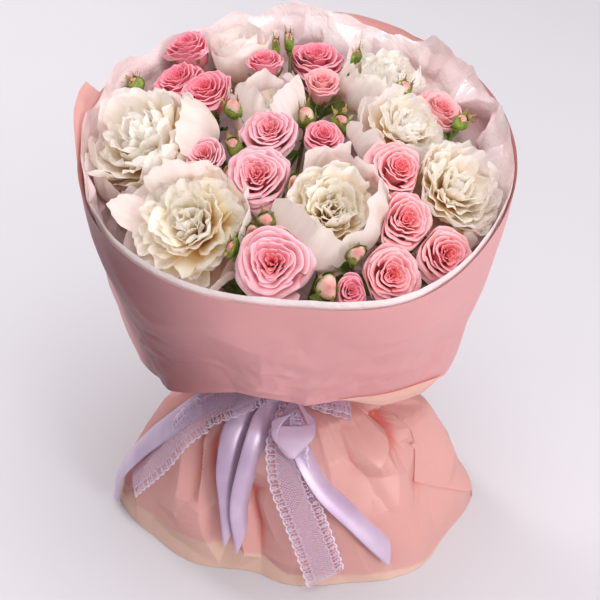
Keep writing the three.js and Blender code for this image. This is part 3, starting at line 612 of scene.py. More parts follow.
# Broad petals that stand out of the ragged hearts. As the front sees the bloom, each tip is so many
# millimetres to the right, up and nearer; then its width, how far it bows out on the way, in
# half-widths of the bloom, how far its sides bend in, and how square its tip is.
GUARDS = {
    "peony_left": [(26, 18, 36, 60, 2.0, 0.5, 0.1), (-42, -4, 16, 62, 1.3, 0.35, 0.3),
                   (-4, -36, 28, 62, 1.6, 0.4, 0.3), (-30, 34, 6, 50, 1.0, 0.3, 0.3),
                   (14, 42, 4, 50, 0.9, 0.3, 0.3), (-34, -30, 18, 46, 1.4, 0.35, 0.3),
                   (22, -22, 30, 44, 1.6, 0.4, 0.3)],
    "peony_front_left": [(-16, 46, 16, 62, 0.9, 0.2, 0.45), (20, 44, 0, 24, 0.7, 0.2, 0.3),
                         (45, 8, 26, 60, 0.9, 0.2, 0.3), (-60, 16, 4, 30, 0.6, 0.1, 0.4),
                         (18, -50, 16, 56, 1.0, 0.05, 0.2), (-34, -32, 12, 50, 1.3, 0.35, 0.35)],
    "peony_front": [(-8, 51, -14, 48, 0.9, 0.12, 0.06), (-11, -7, 40, 78, 2.2, 0.5, 0.12),
                    (22, 0, 36, 82, 1.75, 0.5, 0.2), (10, -64, 8, 38, 0.6, 0.0, 0.1),
                    (32, 28, 18, 48, 1.3, 0.4, 0.3)],
    "peony_right": [(6, -34, 24, 48, 1.6, 0.4, 0.3), (27, 0, 16, 46, 1.1, 0.35, 0.3),
                    (20, 26, 8, 40, 0.9, 0.3, 0.3), (-20, 26, 8, 40, 0.9, 0.3, 0.3),
                    (24, -24, 18, 40, 1.3, 0.4, 0.3)],
    "peony_inner_right": [(-24, -8, 32, 56, 2.0, 0.35, 0.2), (-34, 18, 16, 36, 1.1, 0.3, 0.4),
                          (-12, 32, 8, 40, 0.8, 0.25, 0.3), (24, -14, 14, 40, 1.2, 0.35, 0.3),
                          (4, -26, 26, 40, 1.6, 0.4, 0.3)],
    "peony_back_right": [(-30, 38, 2, 34, 0.6, 0.2, 0.5), (-28, 10, 20, 36, 1.5, 0.5, 0.35),
                         (-12, 2, 30, 36, 1.8, 0.5, 0.35), (8, 6, 30, 36, 1.7, 0.45, 0.35),
                         (24, 10, 16, 38, 1.2, 0.35, 0.3)],
    "peony_middle": [(15, 13, 34, 44, 1.3, 0.3, 0.05), (-32, -16, 26, 34, 1.2, 0.4, 0.3),
                     (-12, 16, 34, 36, 1.2, 0.4, 0.2), (-4, 26, 14, 40, 1.3, 0.4, 0.3),
                     (20, 24, 8, 38, 1.4, 0.4, 0.3), (-24, 10, 20, 34, 1.4, 0.4, 0.3)],
}
# How far the heart's petals lean open, how far the heart reaches, in half-widths, and how yellow it is.
HEARTS = {"peony_left": (0.5, 0.92, 0.45), "peony_front_left": (0.95, 0.74, 1.0),
          "peony_front": (0.5, 0.72, 0.9), "peony_right": (0.6, 0.84, 0.6),
          "peony_inner_right": (0.5, 0.84, 0.3), "peony_back_right": (0.2, 0.84, 0.15),
          "peony_middle": (0.2, 0.45, 0.2)}
# The photo's right, up and out of it, as directions of the bunch.
RIGHT, UP, TOWARD = np.array([[1.0, 0, 0], [0, 0.602, 0.799], [0, -0.799, 0.602]])


def guard(piece, head, right, up, toward, width, bulge, cup, square):
    """A broad petal from the bloom's foot to a given tip, bowed out round the heart."""
    r, draw, facing = head["r"], head["draw"], head["axes"][2]
    root = head["at"] - 0.8 * r * facing
    tip = head["at"] + right * RIGHT + up * UP + toward * TOWARD
    out = unit((tip - root) - ((tip - root) @ facing) * facing)
    side = np.cross(facing, out)
    bend = root + 0.45 * (tip - root) + bulge * r * (0.85 * out - 0.22 * facing)
    v, u = cells(24, 25)
    reach = petal_reach(u, draw, square, 0.045)
    reach = reach - draw.choice([0.0, 0.06, 0.1]) * bump_at(u, draw.uniform(-0.4, 0.4), 0.1)
    w = (v * reach)[..., None]
    path = (1 - w) ** 2 * root + 2 * w * (1 - w) * bend + w ** 2 * tip
    run = unit(2 * (1 - w) * (bend - root) + 2 * w * (tip - bend))
    inward = -unit(np.cross(side, run))
    w = w[..., 0]
    half = width / 2 * (0.34 + 0.66 * np.sin(np.minimum(1, 1.3 * w) * math.pi / 2))
    depth = cup * half * u ** 2 - 0.14 * half * smooth(np.abs(u), 0.7, 1.0) * w
    depth = depth - 0.12 * r * smooth(w, 0.86, 1.0) * draw.uniform(0.0, 1.0)
    depth = depth + 0.05 * half * w * np.sin(2.2 * math.pi * u + draw.uniform(0, TAU))
    depth = depth + 0.025 * half * w * np.sin(5.1 * math.pi * u + draw.uniform(0, TAU) + 2 * w)
    depth = depth + 0.03 * r * np.sin(7 * w + 3 * u + draw.uniform(0, TAU)) * w
    depth = depth + 0.07 * half * np.abs(np.sin(5.5 * u + draw.uniform(0, TAU))) * w
    points = path + inward * depth[..., None] + side * (half * u * (1 - 0.1 * abs(cup) * u ** 2))[..., None]
    piece.grid(press(points, head["walls"], slack=6.0), 0.4 + 0.6 * w, 1.0, draw.uniform(), petal_edge(v, u))


def peony(piece, head):
    r, draw = head["r"], head["draw"]
    opening, size, warmth = HEARTS[head["name"]]
    count = 58
    for i in range(count):
        f = (i + 0.5) / count
        lean = 5 + 76 * f
        slope = (10 + 62 * f) * opening + 13 * draw.normal() - 30 * (1 - opening) * f
        inward = draw.uniform() < 0.3
        points, w, edge = petal(
            draw, root=(0.03 + 0.25 * f) * r * size, height=(-0.5 + 0.06 * draw.normal()) * r,
            azimuth=i * GOLDEN + 0.3 * draw.normal(),
            length=size * r * (0.92 + 0.36 * f) * draw.uniform(0.84, 1.1),
            width=r * (0.46 + 0.52 * f) * draw.uniform(0.75, 1.25), lean=lean, curl=slope - lean,
            cup=draw.uniform(0.05, 0.6), notch=0.02 if f > 0.8 else draw.uniform(0.03, 0.09),
            cleft=draw.choice([0.0, 0.08, 0.15]), ruffle=draw.uniform(0.06, 0.2),
            folds=draw.uniform(1.4, 3.0), tip=0.3, hook=-62 if inward else draw.uniform(-18, 30),
            sway=draw.uniform(-0.1, 0.1), fray=0.006 * r, rows=13, cols=15)
        tone = w * 0.86 + 0.14 * np.clip(points[..., 2] / r + 0.3, 0, 1)
        piece.grid(set_in(points, head), tone, 0.8 * f, warmth * draw.uniform(0.6, 1.0), edge)
    for i in range(6):
        smooth_petal(piece, head, root=0.2 * r, height=-0.84 * r, azimuth=TAU * i / 6 + 0.4, length=1.3 * r,
                     width=1.15 * r, lean=96, curl=-84, cup=0.35, notch=0.02, ruffle=0.06, folds=1.4, tip=0.3,
                     rows=16, cols=17)
    for row in GUARDS[head["name"]]:
        guard(piece, head, *row)


def closed_peony(piece, head):
    """A head that has just begun to open: broad smooth petals folded over each other."""
    r, draw = head["r"], head["draw"]
    for i in range(15):
        f = (i + 0.5) / 15
        smooth_petal(piece, head, root=(0.05 + 0.2 * f) * r, height=-0.85 * r,
                     azimuth=i * GOLDEN + 0.2 * draw.normal(), length=r * (1.45 + 0.16 * f),
                     width=r * (0.9 + 0.6 * f), lean=14 + 42 * f, curl=-22 - 28 * f, cup=0.6 - 0.2 * f,
                     waist=0.5, notch=0.02, cleft=draw.choice([0.0, 0.07]), ruffle=0.05, folds=1.2, tip=0.34,
                     hook=draw.uniform(-24, 12) * f, rows=18, cols=19)


def rose(piece, head):
    r, draw, closing = head["r"], head["draw"], head["closing"]
    count = 31 if r > 22 else 25
    turn = draw.uniform(0, TAU)
    v, u = cells(15, 19)
    for i in range(count):
        f = (i + 0.5) / count
        outer = smooth(f, 0.72, 0.95)
        spread = 0.62 * min(1, f / 0.62) ** (0.9 + 0.4 * closing) + 0.4 * smooth(f, 0.5, 1.12)
        tip = r * (0.04 + 0.95 * spread) * (1 - 0.14 * closing) * (1 + 0.03 * draw.normal())
        band = r * (0.08 + 0.15 * f)
        top = r * (0.32 - 0.12 * math.exp(-(f / 0.2) ** 2) - 0.34 * f ** 3 * (1 - 0.7 * closing)
                   + closing * (0.42 - 0.2 * f)) + 0.03 * r * draw.normal()
        lip = r * (0.02 + 0.125 * f ** 2.2) * (1 - 0.3 * closing)
        base = r * (0.04 + 0.16 * f)
        reach = petal_reach(u, draw, 0.1 + 0.14 * outer, 0.014)
        reach = reach + 0.08 * outer * bump_at(u, draw.uniform(-0.25, 0.25), 0.2)
        w = v * reach
        bow = np.array([[base, -0.8 * r], [max(base, tip - 0.6 * band), -0.62 * r],
                        [tip - 1.5 * band, top - 1.3 * band], [tip - 0.1 * band, top + 0.4 * lip],
                        [tip + lip, top - 1.2 * lip - 0.1 * r * outer * (1 - closing)]])
        blend = np.stack([math.comb(4, k) * w ** k * (1 - w) ** (4 - k) for k in range(5)], -1)
        path = blend @ bow
        wrap = np.radians(draw.uniform(50, 72) - 8 * f)
        wrap = wrap * (0.34 + 0.66 * np.sin(np.minimum(1, 1.35 * w) * math.pi / 2))
        phi = turn + i * GOLDEN + 0.16 * draw.normal() + wrap * u
        rho = path[..., 0] * (1 + 0.07 * u * draw.choice([-1, 1]) + 0.025 * np.sin(5 * u + i))
        lobes = 0.2 * (1 - f) ** 1.5 * np.cos(3 * phi + 2.6 * turn + 1.5 * f)
        rho = rho * (1 + lobes * smooth(w, 0.3, 0.9)) + 0.012 * r * np.sin(9 * u + 3 * i) * w ** 2
        z = path[..., 1] - r * (0.05 + 0.1 * f) * u ** 2 * w
        z = z + 0.03 * r * w ** 2 * np.sin(draw.uniform(2, 4) * u * math.pi + draw.uniform(0, TAU))
        piece.grid(set_in(polar(rho, phi, z), head), w, f, draw.uniform(), petal_edge(v, u, 4, 0.3))
    calyx(piece, head)


def calyx(piece, head):
    """Five narrow sepals under a head, and the hip that they grow from."""
    r, draw = head["r"], head["draw"]
    for i in range(5):
        points, w, edge = petal(
            draw, root=0.15 * r, height=-0.86 * r, azimuth=TAU * i / 5 + 0.3 * draw.normal(),
            length=1.1 * r * draw.uniform(0.85, 1.1), width=0.297 * r, lean=58, curl=-30, cup=0.5, waist=0.9,
            tip=0.0, rows=9, cols=5)
        piece.grid(set_in(points, head), w, 0.0, draw.uniform(), edge, slot=1)
    hip(piece, head, 0.15 * r, -0.91 * r)


def hip(piece, head, radius, z):
    t = np.linspace(0, math.pi, 8)[:, None]
    points = polar(radius * np.sin(t), circle(12)[None, :], z - 1.2 * radius * np.cos(t))
    piece.grid(set_in(points, head), slot=1, closed=True)


def bud(piece, head):
    """An egg of closed petals in five sepals with feathered tips."""
    r, draw, pink = head["r"], head["draw"], head["pink"]
    t, phi = np.linspace(0.02, 1, 14)[:, None], circle(20)[None, :]
    width = 0.98 * r * np.sin(t * math.pi) ** 0.7 * (1.06 - 0.25 * t)
    points = polar(width * (1 + 0.05 * np.cos(3 * phi + 5 * t)), phi, r * (-0.95 + (1.7 + 0.25 * pink) * t))
    piece.grid(set_in(points, head), t, 0.3 + 0.7 * pink, draw.uniform(), across=phi / TAU, closed=True)
    turn = draw.uniform(0, TAU)
    v, u = cells(22, 7)
    body = np.clip(v * (1.45 - 0.35 * pink), 0, 1)
    egg = r * np.sin(np.clip(0.06 + 0.9 * body, 0, 1) * math.pi * 0.93) ** 0.7 + 0.5
    stand = smooth(v, 0.62, 1.0)
    half = 0.8 * (1 - smooth(v, 0.38, 0.74 + 0.14 * (1 - pink))) + 0.1 * (1 - smooth(v, 0.7, 1.0)) + 0.02
    for i in range(5):
        azimuth = turn + TAU * i / 5
        rho = egg + stand * r * draw.uniform(0.15, 0.8)
        z = r * (-1.0 + 2.3 * v + 0.1 * draw.normal() * stand)
        teeth = 1 + 0.35 * np.sign(np.sin(v * 46 + i)) * np.abs(u) ** 3 * smooth(v, 0.3, 0.5)
        angle = azimuth + r * half * teeth * u / np.maximum(egg, 0.35 * r)
        points = polar(rho + 0.05 * r * u ** 2, angle, z)
        piece.grid(set_in(points, head), draw=draw.uniform(), slot=1)
        for k in range(4):
            foot = [np.interp(0.5 + 0.12 * k, v[:, 0], way[:, 0]) for way in (rho, z)]
            share, lift = np.linspace(0, 1, 4), 1 if k % 2 else -1
            hair = np.stack([foot[0] + 0.35 * r * share, lift * (0.2 + 0.36 * share) * r,
                             foot[1] + 0.5 * r * share], -1)
            wide = (0.4 - 0.35 * share)[:, None] * [0, 0, 1]
            strip = np.stack([hair - wide, hair + wide], 1)
            piece.grid(set_in(turned(*np.moveaxis(strip, -1, 0), azimuth), head), slot=1)
    hip(piece, head, 0.42 * r, -1.05 * r)


for head in HEADS:
    piece = Piece(head["name"] + "_bloom")
    if head["kind"] == "peony":
        (peony if head["name"] in GUARDS else closed_peony)(piece, head)
        piece.make([CREAM], [head["name"]])
    elif head["kind"] == "rose":
        rose(piece, head)
        piece.make([ROSE_LOOKS[head["look"]], GREEN], [head["name"]])
    else:
        bud(piece, head)
        piece.make([BUD_PETAL, GREEN], [head["name"]])


# ---------------------------------------------------------------- stems and leaves

def tube(piece, points, radius, sides=9, steps=40):
    line = curve(points, steps)
    run = unit(np.gradient(line, axis=0))
    across = unit(np.cross(run, [1.0, 0.2, 0.1]))
    phi = circle(sides)[None, :, None]
    ring = across[:, None] * np.cos(phi) + np.cross(run, across)[:, None] * np.sin(phi)
    wall = line[:, None] + radius * ring
    piece.grid(wall, closed=True)
    for end in (0, -1):
        piece.grid(np.stack([np.repeat(line[end][None], sides, 0), wall[end]]), closed=True)


stems = Piece("stems_and_leaves")
middle = next(h for h in HEADS if h["name"] == "peony_middle")
sprays = sorted({h["spray"] for h in HEADS if h["spray"]})
mains = [h for h in HEADS if h["kind"] == "peony" and h is not middle]
mains += [next(h for h in HEADS if h["spray"] == s) for s in sprays]
mains.sort(key=lambda h: math.atan2(h["at"][1], h["at"][0]))
for rank, main in enumerate([middle] + mains):
    turn = TAU * (rank - 1) / len(mains) - math.pi / 2
    lap = 6 if (rank - 1) % 2 else 10.2
    low = [polar(0, 0, 0.4), polar(0, 0, BINDING_Z)] if main is middle else \
        [polar(42, turn + math.pi / 2, 0.4), polar(lap, turn, BINDING_Z)]
    knee = main["foot"] - 12 * main["outward"]
    thick = 3.0 if main["spray"] else 3.4
    tube(stems, low + [knee, main["foot"] + 0.2 * main["r"] * main["outward"]], thick)
    others = [h for h in HEADS if h["spray"] and h["spray"] == main["spray"] and h is not main]
    for i, head in enumerate(others):
        leave = low[1] + (knee - low[1]) * (0.8 - 0.5 * i / len(others))
        tube(stems, [leave, head["foot"] - 12 * head["outward"],
                     head["foot"] + 0.3 * head["r"] * head["outward"]], 1.6, sides=7, steps=24)


def leaf(base, outward, azimuth, length, width, lean, curl):
    """A toothed leaf with a folded midrib."""
    side = unit(np.cross(outward, [0.3, 1.0, 0.2]))
    axes = np.stack([side, np.cross(outward, side), outward])
    v, u = cells(22, 9)
    slope = np.radians(lean + curl * v)
    path = np.concatenate([np.sin(slope), np.cos(slope)], -1).cumsum(0) * length / len(v)
    half = width / 2 * np.sin(np.pi * np.minimum(1, 0.04 + v ** 0.8 * 0.96)) ** 0.8
    teeth = 1 + 0.12 * ((v * 13) % 1 - 0.5) * np.abs(u) ** 4
    depth = 0.28 * half * np.abs(u) + 0.06 * half * np.sin(v * 15) * u ** 2
    x, z = path[:, :1] - depth * np.cos(slope), path[:, 1:] + depth * np.sin(slope)
    return press(turned(x, half * teeth * u, z, azimuth) @ axes + base, softness=4.0)


draw = np.random.default_rng(7)
for head in HEADS[len(PEONIES):]:
    for i in range(1 if head["kind"] == "bud" else 3):
        points = leaf(head["foot"] - draw.uniform(8, 18) * head["outward"], head["outward"],
                      azimuth=draw.uniform(0, TAU), length=draw.uniform(22, 34), width=draw.uniform(11, 15),
                      lean=draw.uniform(40, 62), curl=draw.uniform(0, 25))
        stems.grid(points, draw=draw.uniform(), slot=1)
stems.make([STEM, LEAF], ["stems"])

tie = Piece("stem_tie_turns")
turns = np.linspace(0, TAU * 6, 160)
tube(tie, polar(17.6, turns, BINDING_Z - 5 + 1.7 * turns / TAU), 0.85, sides=6, steps=200)
tie.make([TWINE], ["stem_tie"])


# ---------------------------------------------------------------- wrap

def sweep(lines, at):
    """Rows between section lines, at even shares of the way down or at the shares given."""
    lines = np.stack(lines)
    gaps = np.linalg.norm(np.diff(lines, axis=0), axis=-1).mean(1)
    run = np.concatenate([[0], np.cumsum(gaps)])
    run /= run[-1]
    even = np.linspace(0, 1, at) if isinstance(at, int) else at
    out = np.empty((len(even),) + lines.shape[1:])
    for k in range(lines.shape[1]):
        for axis in range(3):
            out[:, k, axis] = np.interp(even, run, lines[:, k, axis])
    return out


def rim_line(phi, inset, lift):
    radius = around(RIM, phi) - inset
    return polar(radius, phi, RIM_Z + RIM_RISE * radius * np.sin(phi) + lift)


def fold_ring(phi, inset):
    return polar(around(FOLD, phi) - inset, phi, around(FOLD_Z, phi))


def second_layer(points, starts, span, lift):
    """A layer over a closed sheet, whose free edge is at the given degrees, row by row."""
    at = np.linspace(0, 360, points.shape[1], endpoint=False)
    share = np.linspace(0, 1, 130)[None, :]
    way = np.asarray(starts)[:, None] + span * share
    layer = [[np.interp(row, at, line[:, axis], period=360) for axis in range(3)]
             for row, line in zip(way, points)]
    lift = lift * (1 - 1.5 * smooth(share, 0.7, 1.0))
    return np.moveaxis(np.array(layer), 1, 2) + polar(lift, np.radians(way), 0)


# Azimuth, share of the way down, half-length in degrees, slope and depth of each short dent.
COLLAR_DENTS = [(221, 0.56, 6, 0.004, -2.4), (251, 0.84, 7, -0.006, -2.2), (263, 0.89, 6, 0.008, 2.2),
                (270, 0.74, 6, -0.007, -1.8), (300, 0.82, 8, -0.004, -2.0), (238, 0.72, 5, 0.01, 1.8)]


def make_collar():
    draw = np.random.default_rng(11)
    phi = circle(420)
    rim = rim_line(phi, 0.5, 0)
    degrees = np.degrees(phi)
    every_30 = np.arange(0, 361, 30)
    corner = [0.25 * around(values, phi) + 0.75 * np.interp(degrees, every_30, values + values[:1])
              for values in (FOLD, FOLD_Z)]
    corner[0] += sum(5 * tent(angle_gap(phi, where), 13) for where in (217, 338))
    corner[1] -= 4 * tent(angle_gap(phi, 276), 14)
    fold = polar(corner[0], phi, corner[1])
    t = np.linspace(0, 1, 64)[:, None]
    wall = rim + (fold - rim) * t[..., None] + polar(4 * BELLY * t * (1 - t), phi, 0)
    girth, down = phi * 160, t[:, 0] * 190
    soft = crinkle(girth, down, 66, 6.0, draw) * (1.2 + 0.2 * np.sin(phi))
    soft = soft + crinkle(girth, down, 32, 1.3, draw)
    dents = crinkle(girth, down, 15, 1.3, draw) * smooth(crinkle(girth, down, 60, 1.0, draw), 0.1, 0.6)
    front = smooth(-np.sin(phi), -0.2, 0.4)
    dents = dents + crinkle(girth, down, 17, 1.6, draw) * bump_at(t, 0.74, 0.16) * front
    taut = smooth(t, 0.0, 0.3) * (1 - 0.6 * smooth(t, 0.85, 1.0))
    # A fold from the lower left corner to the hem, one up from the hem's lowest point, and short dents.
    fold_line = np.interp(degrees, [206, 215, 232, 249], [1.0, 0.915, 0.955, 1.0], left=1.0, right=1.0)
    creased = 62 * np.clip(t - fold_line, 0, 1)
    creased = creased + 3.4 * tent(angle_gap(phi, 276), 9) * smooth(t, 0.8, 0.99)
    for where, at, reach, slope, out in COLLAR_DENTS:
        gap = angle_gap(phi, where)
        creased = creased + out * tent(t - at - slope * gap, 0.035) * tent(gap, reach)
    wall = wall + polar((soft + dents * (0.3 + t)) * taut - 0.5 + creased, phi, 0)
    neck = COLLAR_NECK - 0.4
    below = [(corner[0] * 0.985, corner[1] - 3.2), (corner[0] * 0.93, corner[1] - 4.2),
             (corner[0] * 0.42, NECK_Z + 30), (neck, NECK_Z + 11), (neck, NECK_Z)]
    below = sweep([polar(radius, phi, z) for radius, z in below], 30)
    gather = 1 + 0.04 * np.sin(23 * phi) * np.sin(np.linspace(0, 1, 30) * math.pi)[:, None]
    below[..., :2] *= gather[..., None]
    piece = Piece("collar_wrap")
    # Painted shade: the film's colour is drawn much deeper at the front left, where it lies in shade.
    front_left_painted_shade = 0.95 * smooth(degrees, 186, 201) * (1 - smooth(degrees, 212, 260))
    piece.grid(np.vstack([wall, below]), ring=front_left_painted_shade, closed=True)
    # The film laps over itself at the back right, with a slanting free edge.
    piece.grid(second_layer(wall, 39 + 30 * t[:, 0], 107, 0.9))
    # The film's edge is folded under at the front right, with its paler side out.
    strip = np.radians(np.linspace(-68, -24, 60))
    radius, z = (np.interp(np.degrees(strip) % 360, degrees, values) for values in corner)
    high_edge = polar(radius + 0.4, strip, z - 0.5)
    width = 14 * np.minimum(1, np.minimum(np.linspace(0, 2.2, 60), np.linspace(5, 0, 60)))
    low_edge = high_edge + polar(-1 - 0.06 * width, strip, -width)
    middle = (high_edge + low_edge) / 2 + polar(1.2, strip, 0)
    piece.grid(sweep([high_edge, middle, low_edge], 8), edge=0.45, slot=1)
    piece.make([COLLAR, SALMON], ["film_collar"], sharp=24)


# Azimuth, height and half-width in degrees of each peak of the tissue's edge.
LINER_PEAKS = [(172, 9, 9), (150, 12, 9), (128, 8, 8), (108, 9, 7), (90, 8, 8), (66, -14, 9), (46, 10, 7),
               (30, 12, 9), (10, 12, 10), (-14, 6, 8), (195, 5, 9)]


def make_liner():
    draw = np.random.default_rng(23)
    phi = circle(640)
    rim = rim_line(phi, LINER_INSET, 0)
    peaks = sum(height * tent(angle_gap(phi, where), width) for where, height, width in LINER_PEAKS)
    front = smooth(-np.sin(phi), -0.1, 0.55)
    girth = phi * 170
    one_row = np.array([0.0])
    tear = crinkle(girth, one_row, 26, 4.0, draw)[0] + crinkle(girth, one_row, 12, 1.2, draw)[0]
    lift = 6 + (peaks + tear) * (1 - front) + 0.3 * tear
    knee = rim + 0.3 * (fold_ring(phi, LINER_INSET) - rim)
    lines = [rim_line(phi, LINER_INSET, lift), rim, knee, polar(LINER_NECK + 0.5, phi, NECK_Z + 11),
             polar(LINER_NECK + 0.5, phi, NECK_Z)]
    v = np.concatenate([np.linspace(0, 0.32, 54), np.linspace(0.34, 1, 16)])
    points = sweep(lines, v)
    v = v[:, None]
    down = v[:, 0] * 300
    big = crinkle(girth, down, 34, 1.0, draw)
    small = crinkle(girth, down, 15, 1.0, draw)
    right_side = bump_at(angle_gap(phi, 12), 0, 45)
    pattern = np.clip(0.5 + 0.55 * big + 0.2 * small, 0, 1)
    room = np.full(pattern.shape, 60.0)
    for head in HEADS:
        room = np.minimum(room, np.linalg.norm(points - head["at"], axis=-1) - head["r"])
    inward = np.clip(room, 6.0, 20 + 6 * right_side) * pattern
    inward = inward * (0.12 + 0.88 * (1 - front)) * (0.4 + 0.6 * smooth(v, 0.0, 0.08))
    inward = inward * (1 - smooth(v, 0.25, 0.6))
    points = points - polar(inward, phi, 0)
    points[..., 2] += 1.8 * small * (1 - smooth(v, 0.3, 0.5)) * (1 - 0.7 * front)
    piece = Piece("tissue_sheet")
    piece.grid(points, along=1 - v, ring=np.maximum(pattern, front), closed=True)
    piece.make([TISSUE], ["tissue_liner"], sharp=8)


# Height of the back sheet's edge over the rim, by azimuth.
BACK_EDGE = [(-24, 0), (0, 3), (20, -3), (50, -2), (58, 3), (72, 4), (80, 2), (100, -2), (150, 0), (156, 2),
             (160.5, 22), (166, 25), (172, 23), (178, 14), (186, 5), (201, 0)]


def make_back():
    phi = np.radians(np.linspace(-24, 201, 240))
    lift = np.interp(np.degrees(phi), *zip(*BACK_EDGE))
    rim = rim_line(phi, BACK_INSET, 0)
    top = rim_line(phi, BACK_INSET, lift) + polar(4 * smooth(lift, 4, 24), phi, 0)
    low = rim + (fold_ring(phi, BACK_INSET) - rim) * 0.05 - polar(1.0, phi, 0)
    piece = Piece("back_sheet_film")
    piece.grid(sweep([top, rim, low], 26))
    piece.make([SALMON], ["film_back_sheet"], sharp=30)


def skirt_radius(phi, z):
    heights, shares = zip(*SKIRT_SECTION[::-1])
    hem = around(HEM, phi) + 3.5 * np.cos(8 * phi)
    return SKIRT_NECK + (hem - SKIRT_NECK) * np.interp(z, heights, shares)


# Sharp folds of the skirt: lines of azimuth, height and how far the film stands out there.
CREASES = [
    [(343, 139, 3), (338, 103, 4), (333, 66, -6)], [(349, 138, -4), (339, 124, -11), (328, 110, -8)],
    [(328, 110, -8), (341, 98, 2), (359, 82, 5)], [(333, 66, -6), (346, 76, 2), (359, 82, 5)],
    [(333, 66, -6), (345, 40, 1), (357, 8, 5)], [(357, 122, 6), (359, 82, 5)],
    [(325, 120, 5), (313, 106, 5)], [(285, 131, 2), (293, 133, 3), (304, 133, -3)],
    [(278, 118, -3), (290, 114, 2), (303, 112, -5)], [(303, 112, -5), (309, 95, -4)],
    [(309, 95, -4), (322, 92, 3)], [(245, 79, -7), (254, 84, -4), (263, 86, -4)],
    [(245, 104, 4), (258, 100, 3), (270, 104, 3)], [(245, 79, -7), (252, 50, -7), (254, 15, -3)],
    [(238, 74, 2), (243, 54, 5), (247, 20, 4)], [(268, 66, 3), (270, 24, 4)],
    [(206, 128, -4), (212, 114, -9), (217, 92, -9), (219.5, 66, -3)],
    [(210, 128, 1), (217, 108, 1), (221, 86, 1), (224, 64, 2)],
    [(214, 128, -5), (222, 100, -11), (228, 84, -11), (233, 70, -9), (237, 32, -5)],
    [(202, 121, 4), (207, 100, 5), (213, 70, 5), (215.6, 47, 6)],
    [(215.6, 47, 6), (219.5, 62, 3), (226, 58, 6)], [(215.6, 47, 6), (221, 12, -3)],
    [(226, 58, 6), (229, 34, 4)], [(290, 80, 1), (296, 40, 4), (300, 8, 2)],
    [(316, 70, 4), (320, 34, 3), (322, 6, 3)],
]


def pleats(draw):
    """Folds that run down from the tie where the photo doesn't show the skirt."""
    lines, azimuth, ridge = [], 5, True
    while azimuth < 196:
        low, lean = draw.uniform(8, 70), draw.uniform(-7, 7)
        out = draw.uniform(2, 5) if ridge else draw.uniform(-11, -5)
        lines.append([(azimuth, 137, 0.4 * out), (azimuth + 0.5 * lean, (137 + low) / 2, out),
                      (azimuth + lean, low, 0.7 * out)])
        azimuth += draw.uniform(7, 12)
        ridge = not ridge
    return lines


def make_skirt(name, node_name, inset, low, seed, lines):
    draw = np.random.default_rng(seed)
    phi = circle(620)
    heights = np.concatenate([np.linspace(152.5, 142, 4), np.linspace(141, 131, 12),
                              np.linspace(129.5, low, 72)])
    radius = np.stack([skirt_radius(phi, z) for z in heights])
    for _ in range(2):
        radius[4:-1] = 0.25 * radius[3:-2] + 0.5 * radius[4:-1] + 0.25 * radius[5:]
    points = polar(radius - inset, phi[None, :], heights[:, None])
    # The folds' lines and the loose sites between them, unrolled to a flat strip that repeats.
    scale, girth, margin = np.array([2.2, -1.15]), 792, 120
    sites, out = [], []
    for line in lines:
        for (a, za, oa), (b, zb, ob) in zip(line, line[1:]):
            count = max(2, round(math.hypot((b - a) * scale[0], (zb - za) * scale[1]) / 7))
            for t in np.linspace(0, 1, count + 1):
                sites.append(((a + t * (b - a)) * scale[0], (za + t * (zb - za)) * scale[1]))
                out.append(oa + t * (ob - oa))
    for x in np.arange(0, 360, 12.0):
        for z in np.arange(-12, 165, 25.0):
            site = np.array([x + draw.uniform(-5, 5), z + draw.uniform(-10, 10)]) * scale
            near = min(np.hypot(*(np.array(other) + [shift, 0] - site))
                       for other in sites for shift in (-girth, 0, girth))
            if near > 12:
                sites.append(tuple(site))
                out.append(draw.uniform(-1.4, 1.8))
    wide = {(round(x + shift, 2), round(y, 2)): o for (x, y), o in zip(sites, out)
            for shift in (-girth, 0, girth) if -margin < x + shift < girth + margin}
    flat_x, flat_y = np.degrees(phi) * scale[0], heights * scale[1]
    offset = facets(flat_x, flat_y, list(wide), list(wide.values()))
    offset += crinkle(flat_x, flat_y, 34, 0.5, draw)
    neck = smooth(heights, 108, 140)[:, None]
    gathers = sum(np.abs(np.sin(k * phi / 2 + draw.uniform(0, TAU))) for k in (17, 29, 43))
    offset -= 1.6 * neck * (gathers - 1.6)
    grip = (1 - smooth(heights, 134, 144))[:, None]
    hem = 0.6 + 0.4 * smooth(heights, 0, 16)[:, None]
    offset = np.clip(1.3 * offset, -16, 7) * grip * hem
    points += polar(offset, phi, 0)
    # Painted shade in the folds' valleys, deeper where the film sinks in, fading out towards the tie.
    painted_valley_shade = 0.9 * smooth(-offset, 3.0, 10.0) * (1 - smooth(heights, 128, 146))[:, None]
    # The outer film is a single pale layer along the hem, widest at the left.
    left = 0.5 + 0.5 * np.cos(phi - math.radians(218))
    border = 1 + 23 * left ** 2.5 + 4 * left * np.sin(5 * phi)
    single = 1 - smooth(heights[:, None] - border[None, :], -0.8, 1.2)
    piece = Piece(name)
    piece.grid(points, ring=painted_valley_shade, edge=0.8 * single, closed=True)
    if inset < 1:
        starts = np.interp(heights, [8, 40, 66, 103, 139], [357, 345, 333, 338, 343])
        piece.grid(second_layer(points[16:], starts[16:], 80, 1.2))
    piece.make([SALMON], [node_name], sharp=10)


make_collar()
make_liner()
make_back()
fold_draw = np.random.default_rng(31)
make_skirt("skirt_film_outer", "film_skirt", 0.5, 0.5, 3, CREASES + pleats(fold_draw))
make_skirt("skirt_film_inner", "film_underskirt", 3.4, 24, 4, CREASES + pleats(fold_draw))


# ---------------------------------------------------------------- ribbons

SATIN_KNOT = np.array([0, -32, 147.0])
LACE_KNOT = np.array([4, -32.5, 155.2])
